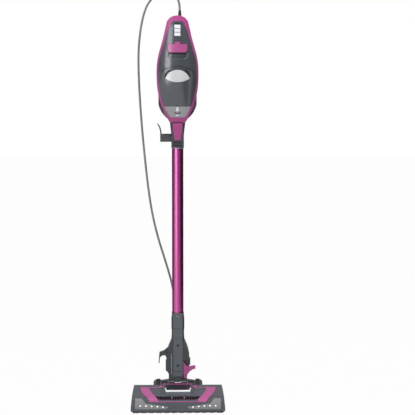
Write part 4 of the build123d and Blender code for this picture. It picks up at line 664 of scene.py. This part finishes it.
# Mouth seal: a soft rubber ring pressed into the collar's mouth, where the hand unit comes down on it.
# It is wider from side to side than from front to back, and its upper lip flares outwards.
seal_r, seal_thick_r = 0.0212, 0.0010
seal_shape = (1.03, 0.92, 0.8)
lip_rise, lip_middle = 0.0002, 0.0008
lip_shape = (1.03, 1.04, 0.5)
bpy.ops.object.select_all(action="DESELECT")
bpy.ops.mesh.primitive_torus_add(major_segments=64, minor_segments=12, major_radius=seal_r,
                                 minor_radius=seal_thick_r, location=(0, wand_y, collar_high.z))
seal = bpy.context.object
seal.scale = seal_shape
bpy.ops.object.transform_apply(location=True, rotation=True, scale=True)
bpy.ops.object.mode_set(mode="EDIT")
bpy.ops.mesh.select_mode(type="VERT")
bpy.ops.mesh.select_all(action="DESELECT")
bpy.ops.object.mode_set(mode="OBJECT")
for point in seal.data.vertices:
    point.select = point.co.z > collar_high.z + lip_rise
bpy.ops.object.mode_set(mode="EDIT")
bpy.ops.transform.resize(value=lip_shape, center_override=(0, wand_y, collar_high.z + lip_middle))
bpy.ops.object.mode_set(mode="OBJECT")
finished(seal, "mouth_seal", black_rubber, "wand", smooth=True)


# Hand unit, front: a magenta frame that clips over the slate cover and the grey window below it. A plated
# badge sits in the cover's middle, left bare, in a black surround that shows at both its ends.
def both_sides(side, middle=()):
    """Corners of a line that is alike at both sides: its right side is given from the outside in."""
    return [(-x, z) for x, z in side] + list(middle) + side[::-1]


dress(magenta, "frame_band")
dress(moulded("cover_slate", (0.058, 0.066, 0.077), rough=0.22, coat=0.60), "front_cover", "grip_cover")
dress(moulded("window_grey", (0.29, 0.285, 0.305), rough=0.3, coat=0.3), "nose_window")
dress(moulded("badge_plating", (0.60, 0.61, 0.63), rough=0.25, coat=0.4, edge=0.0006), "badge_plate")
badge_end = ((0.0355, 0.9860), (0.0335, 0.9930), (0.0290, 0.9990), (0.0215, 1.0040))
for side, way in (("left", -1), ("right", 1)):
    surface_line(f"badge_end_{side}", "front_cover", [(way * x, z) for x, z in badge_end], dark_lines_and_shadow,
                 "hand_unit", width=0.0044, proud=0.0010)


# Lines of the cover: a scored joint arch above the badge that runs down both sides, a pale painted highlight
# along the edge of the finger recess under the latch, and a dark painted shadow under the latch at the
# recess's top.
def arc(middle, radius, start, end, parts, flat=1.0):
    """Corners along an arc, angles in degrees from +X, flattened in height by flat."""
    return [(middle[0] + radius * cos(radians(start + (end - start) * i / parts)),
             middle[1] + radius * flat * sin(radians(start + (end - start) * i / parts)))
            for i in range(parts + 1)]


# Grey paint for painted light: a highlight along the finger recess's edge, and shade across the slider's
# steps.
painted_light_and_shade_grey = moulded("edge_grey", (0.21, 0.22, 0.235), rough=0.35, coat=0.3)
arch_side = [(0.0525, 0.9700), (0.0505, 0.9880), (0.0440, 1.0040), (0.0330, 1.0105)]
arch_top = arc((0, 1.0050), radius=0.0300, start=150, end=30, parts=12, flat=0.36)
surface_line("cover_arch", "front_cover", both_sides(arch_side, arch_top), dark_lines_and_shadow,
             "hand_unit", width=0.0022, proud=-0.0005)
# Painted highlight: a pale line along the edge of the finger recess.
recess_highlight_side = [(0.0305, 1.0560), (0.0290, 1.0440), (0.0260, 1.0400), (0.0200, 1.0375)]
surface_line("recess_edge_highlight", "front_cover", both_sides(recess_highlight_side), painted_light_and_shade_grey,
             "hand_unit", width=0.0015)
# Painted shadow: a dark line under the latch, at the top of the finger recess.
shadow_side = [(0.0265, 1.0555), (0.0220, 1.0535)]
surface_line("recess_shadow", "front_cover", both_sides(shadow_side), dark_lines_and_shadow,
             "hand_unit", width=0.0030)

# Window details: two painted highlights in the window's middle, a white strip laid along its moulded rib and
# a short white dash below it. A small dark curved mark between them shows where to press.
# White paint for the slider, and for the window's painted highlights.
white = moulded("white_plastic_and_highlight", (0.66, 0.68, 0.72), rough=0.3, coat=0.4, edge=0.0006)
window_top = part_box("nose_window")[1].z
rib_highlight_top = window_top - 0.0020
rib_highlight_length = 0.0120
glint_z = window_top - 0.0262
glint_half = 0.0036
press_z = window_top - 0.0110
press_r = 0.0105
# Painted highlight: a white strip along the window's rib.
surface_line("window_rib_highlight", "nose_window", [(0, rib_highlight_top), (0, rib_highlight_top - rib_highlight_length)], white,
             "hand_unit", width=0.0130, proud=-0.0042)
# Painted highlight: a short white dash below the rib.
surface_line("window_glint", "nose_window", [(-glint_half, glint_z), (glint_half, glint_z)], white,
             "hand_unit", width=0.0068, proud=-0.0016)
press_bow = arc((0, press_z), press_r, start=212, end=328, parts=8)
surface_line("press_mark", "nose_window", press_bow, dark_lines_and_shadow, "hand_unit", width=0.0022)

# Latch and switch: the magenta latch hangs on two moulded pins and lets the hand unit off the wand. The
# white slider has three thumb steps and runs in a slot of the grip cover, beside its I and O marks.
dress(moulded("latch_magenta", (0.355, 0.070, 0.215), rough=0.32, coat=0.35), "front_latch")
dress(white, "switch_slider")
dress(charcoal, "switch_body")
slider_low, slider_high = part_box("switch_slider")
slider_steps = 3
step_inset = 0.0008
# Painted shade: grey lines across the white slider where its thumb steps meet.
for number in range(1, slider_steps):
    step_z = slider_low.z + (slider_high.z - slider_low.z) * number / slider_steps
    shaded_step_edges = [(slider_low.x + step_inset, step_z), (slider_high.x - step_inset, step_z)]
    surface_line(f"slider_step_shade_{number}", "switch_slider", shaded_step_edges, painted_light_and_shade_grey,
                 "switch_slider", width=0.0014)
mark_x = -0.0150
on_low, on_high, off_z, off_r = 1.1120, 1.1155, 1.1280, 0.0018
surface_line("mark_on", "grip_cover", [(mark_x, on_low), (mark_x, on_high)], pale,
             "hand_unit", width=0.0007)
off_ring = arc((mark_x, off_z), off_r, start=0, end=360, parts=12)
surface_line("mark_off", "grip_cover", off_ring, pale, "hand_unit", width=0.0006, step=0.001)

# Hand unit, rear: the graphite housing with the motor bay and the handle loop, in one moulding. A rubber
# grip is pressed on the back of the loop, and louvres let the air out of both sides of the motor bay.
dress(graphite, "rear_housing")
dress(charcoal, "inlet_duct")
dress(black_rubber, "handle_grip")
louvre_black = moulded("louvre_black", (0.010, 0.011, 0.012), rough=0.7, coat=0.0)
louvres_a_side = 7
louvre_front, louvre_back, louvre_slope = 0.036, 0.070, 0.004
louvre_z, louvre_pitch = 1.0000, 0.0055
for side, way in (("left", (1, 0, 0)), ("right", (-1, 0, 0))):
    slots = []
    for number in range(louvres_a_side):
        slot_z = louvre_z + louvre_pitch * number
        slot_ends = [(louvre_front, slot_z), (louvre_back, slot_z + louvre_slope)]
        slots.append(surface_line(f"louvre_{side}_{number + 1}", "rear_housing", slot_ends, louvre_black,
                                  "hand_unit", width=0.0030, proud=-0.0002, way=way))
    joined(slots).name = f"louvres_{side}"

# Motor: a drawn steel can that stands on the filter frame in the motor bay, with a charcoal plastic fan
# on its shaft. The fan draws the air up through the dust cup.
dress(steel, "motor_can")
dress(charcoal, "fan")

# Dust cup: a smoked clear cup that slides in under the motor bay, with a charcoal door hinged on a steel
# pin. Inside it are a foam filter and a fine steel screen.
dress(clear("smoked_cup", (0.045, 0.047, 0.053), rough=0.14, cover=0.62), "dust_cup")
dress(charcoal, "cup_door")
dress(steel, "door_pin", "mesh_screen")
dress(rubbery("grey_foam", (0.10, 0.10, 0.11), rough=0.95, grain=260, depth=0.9), "foam_filter")
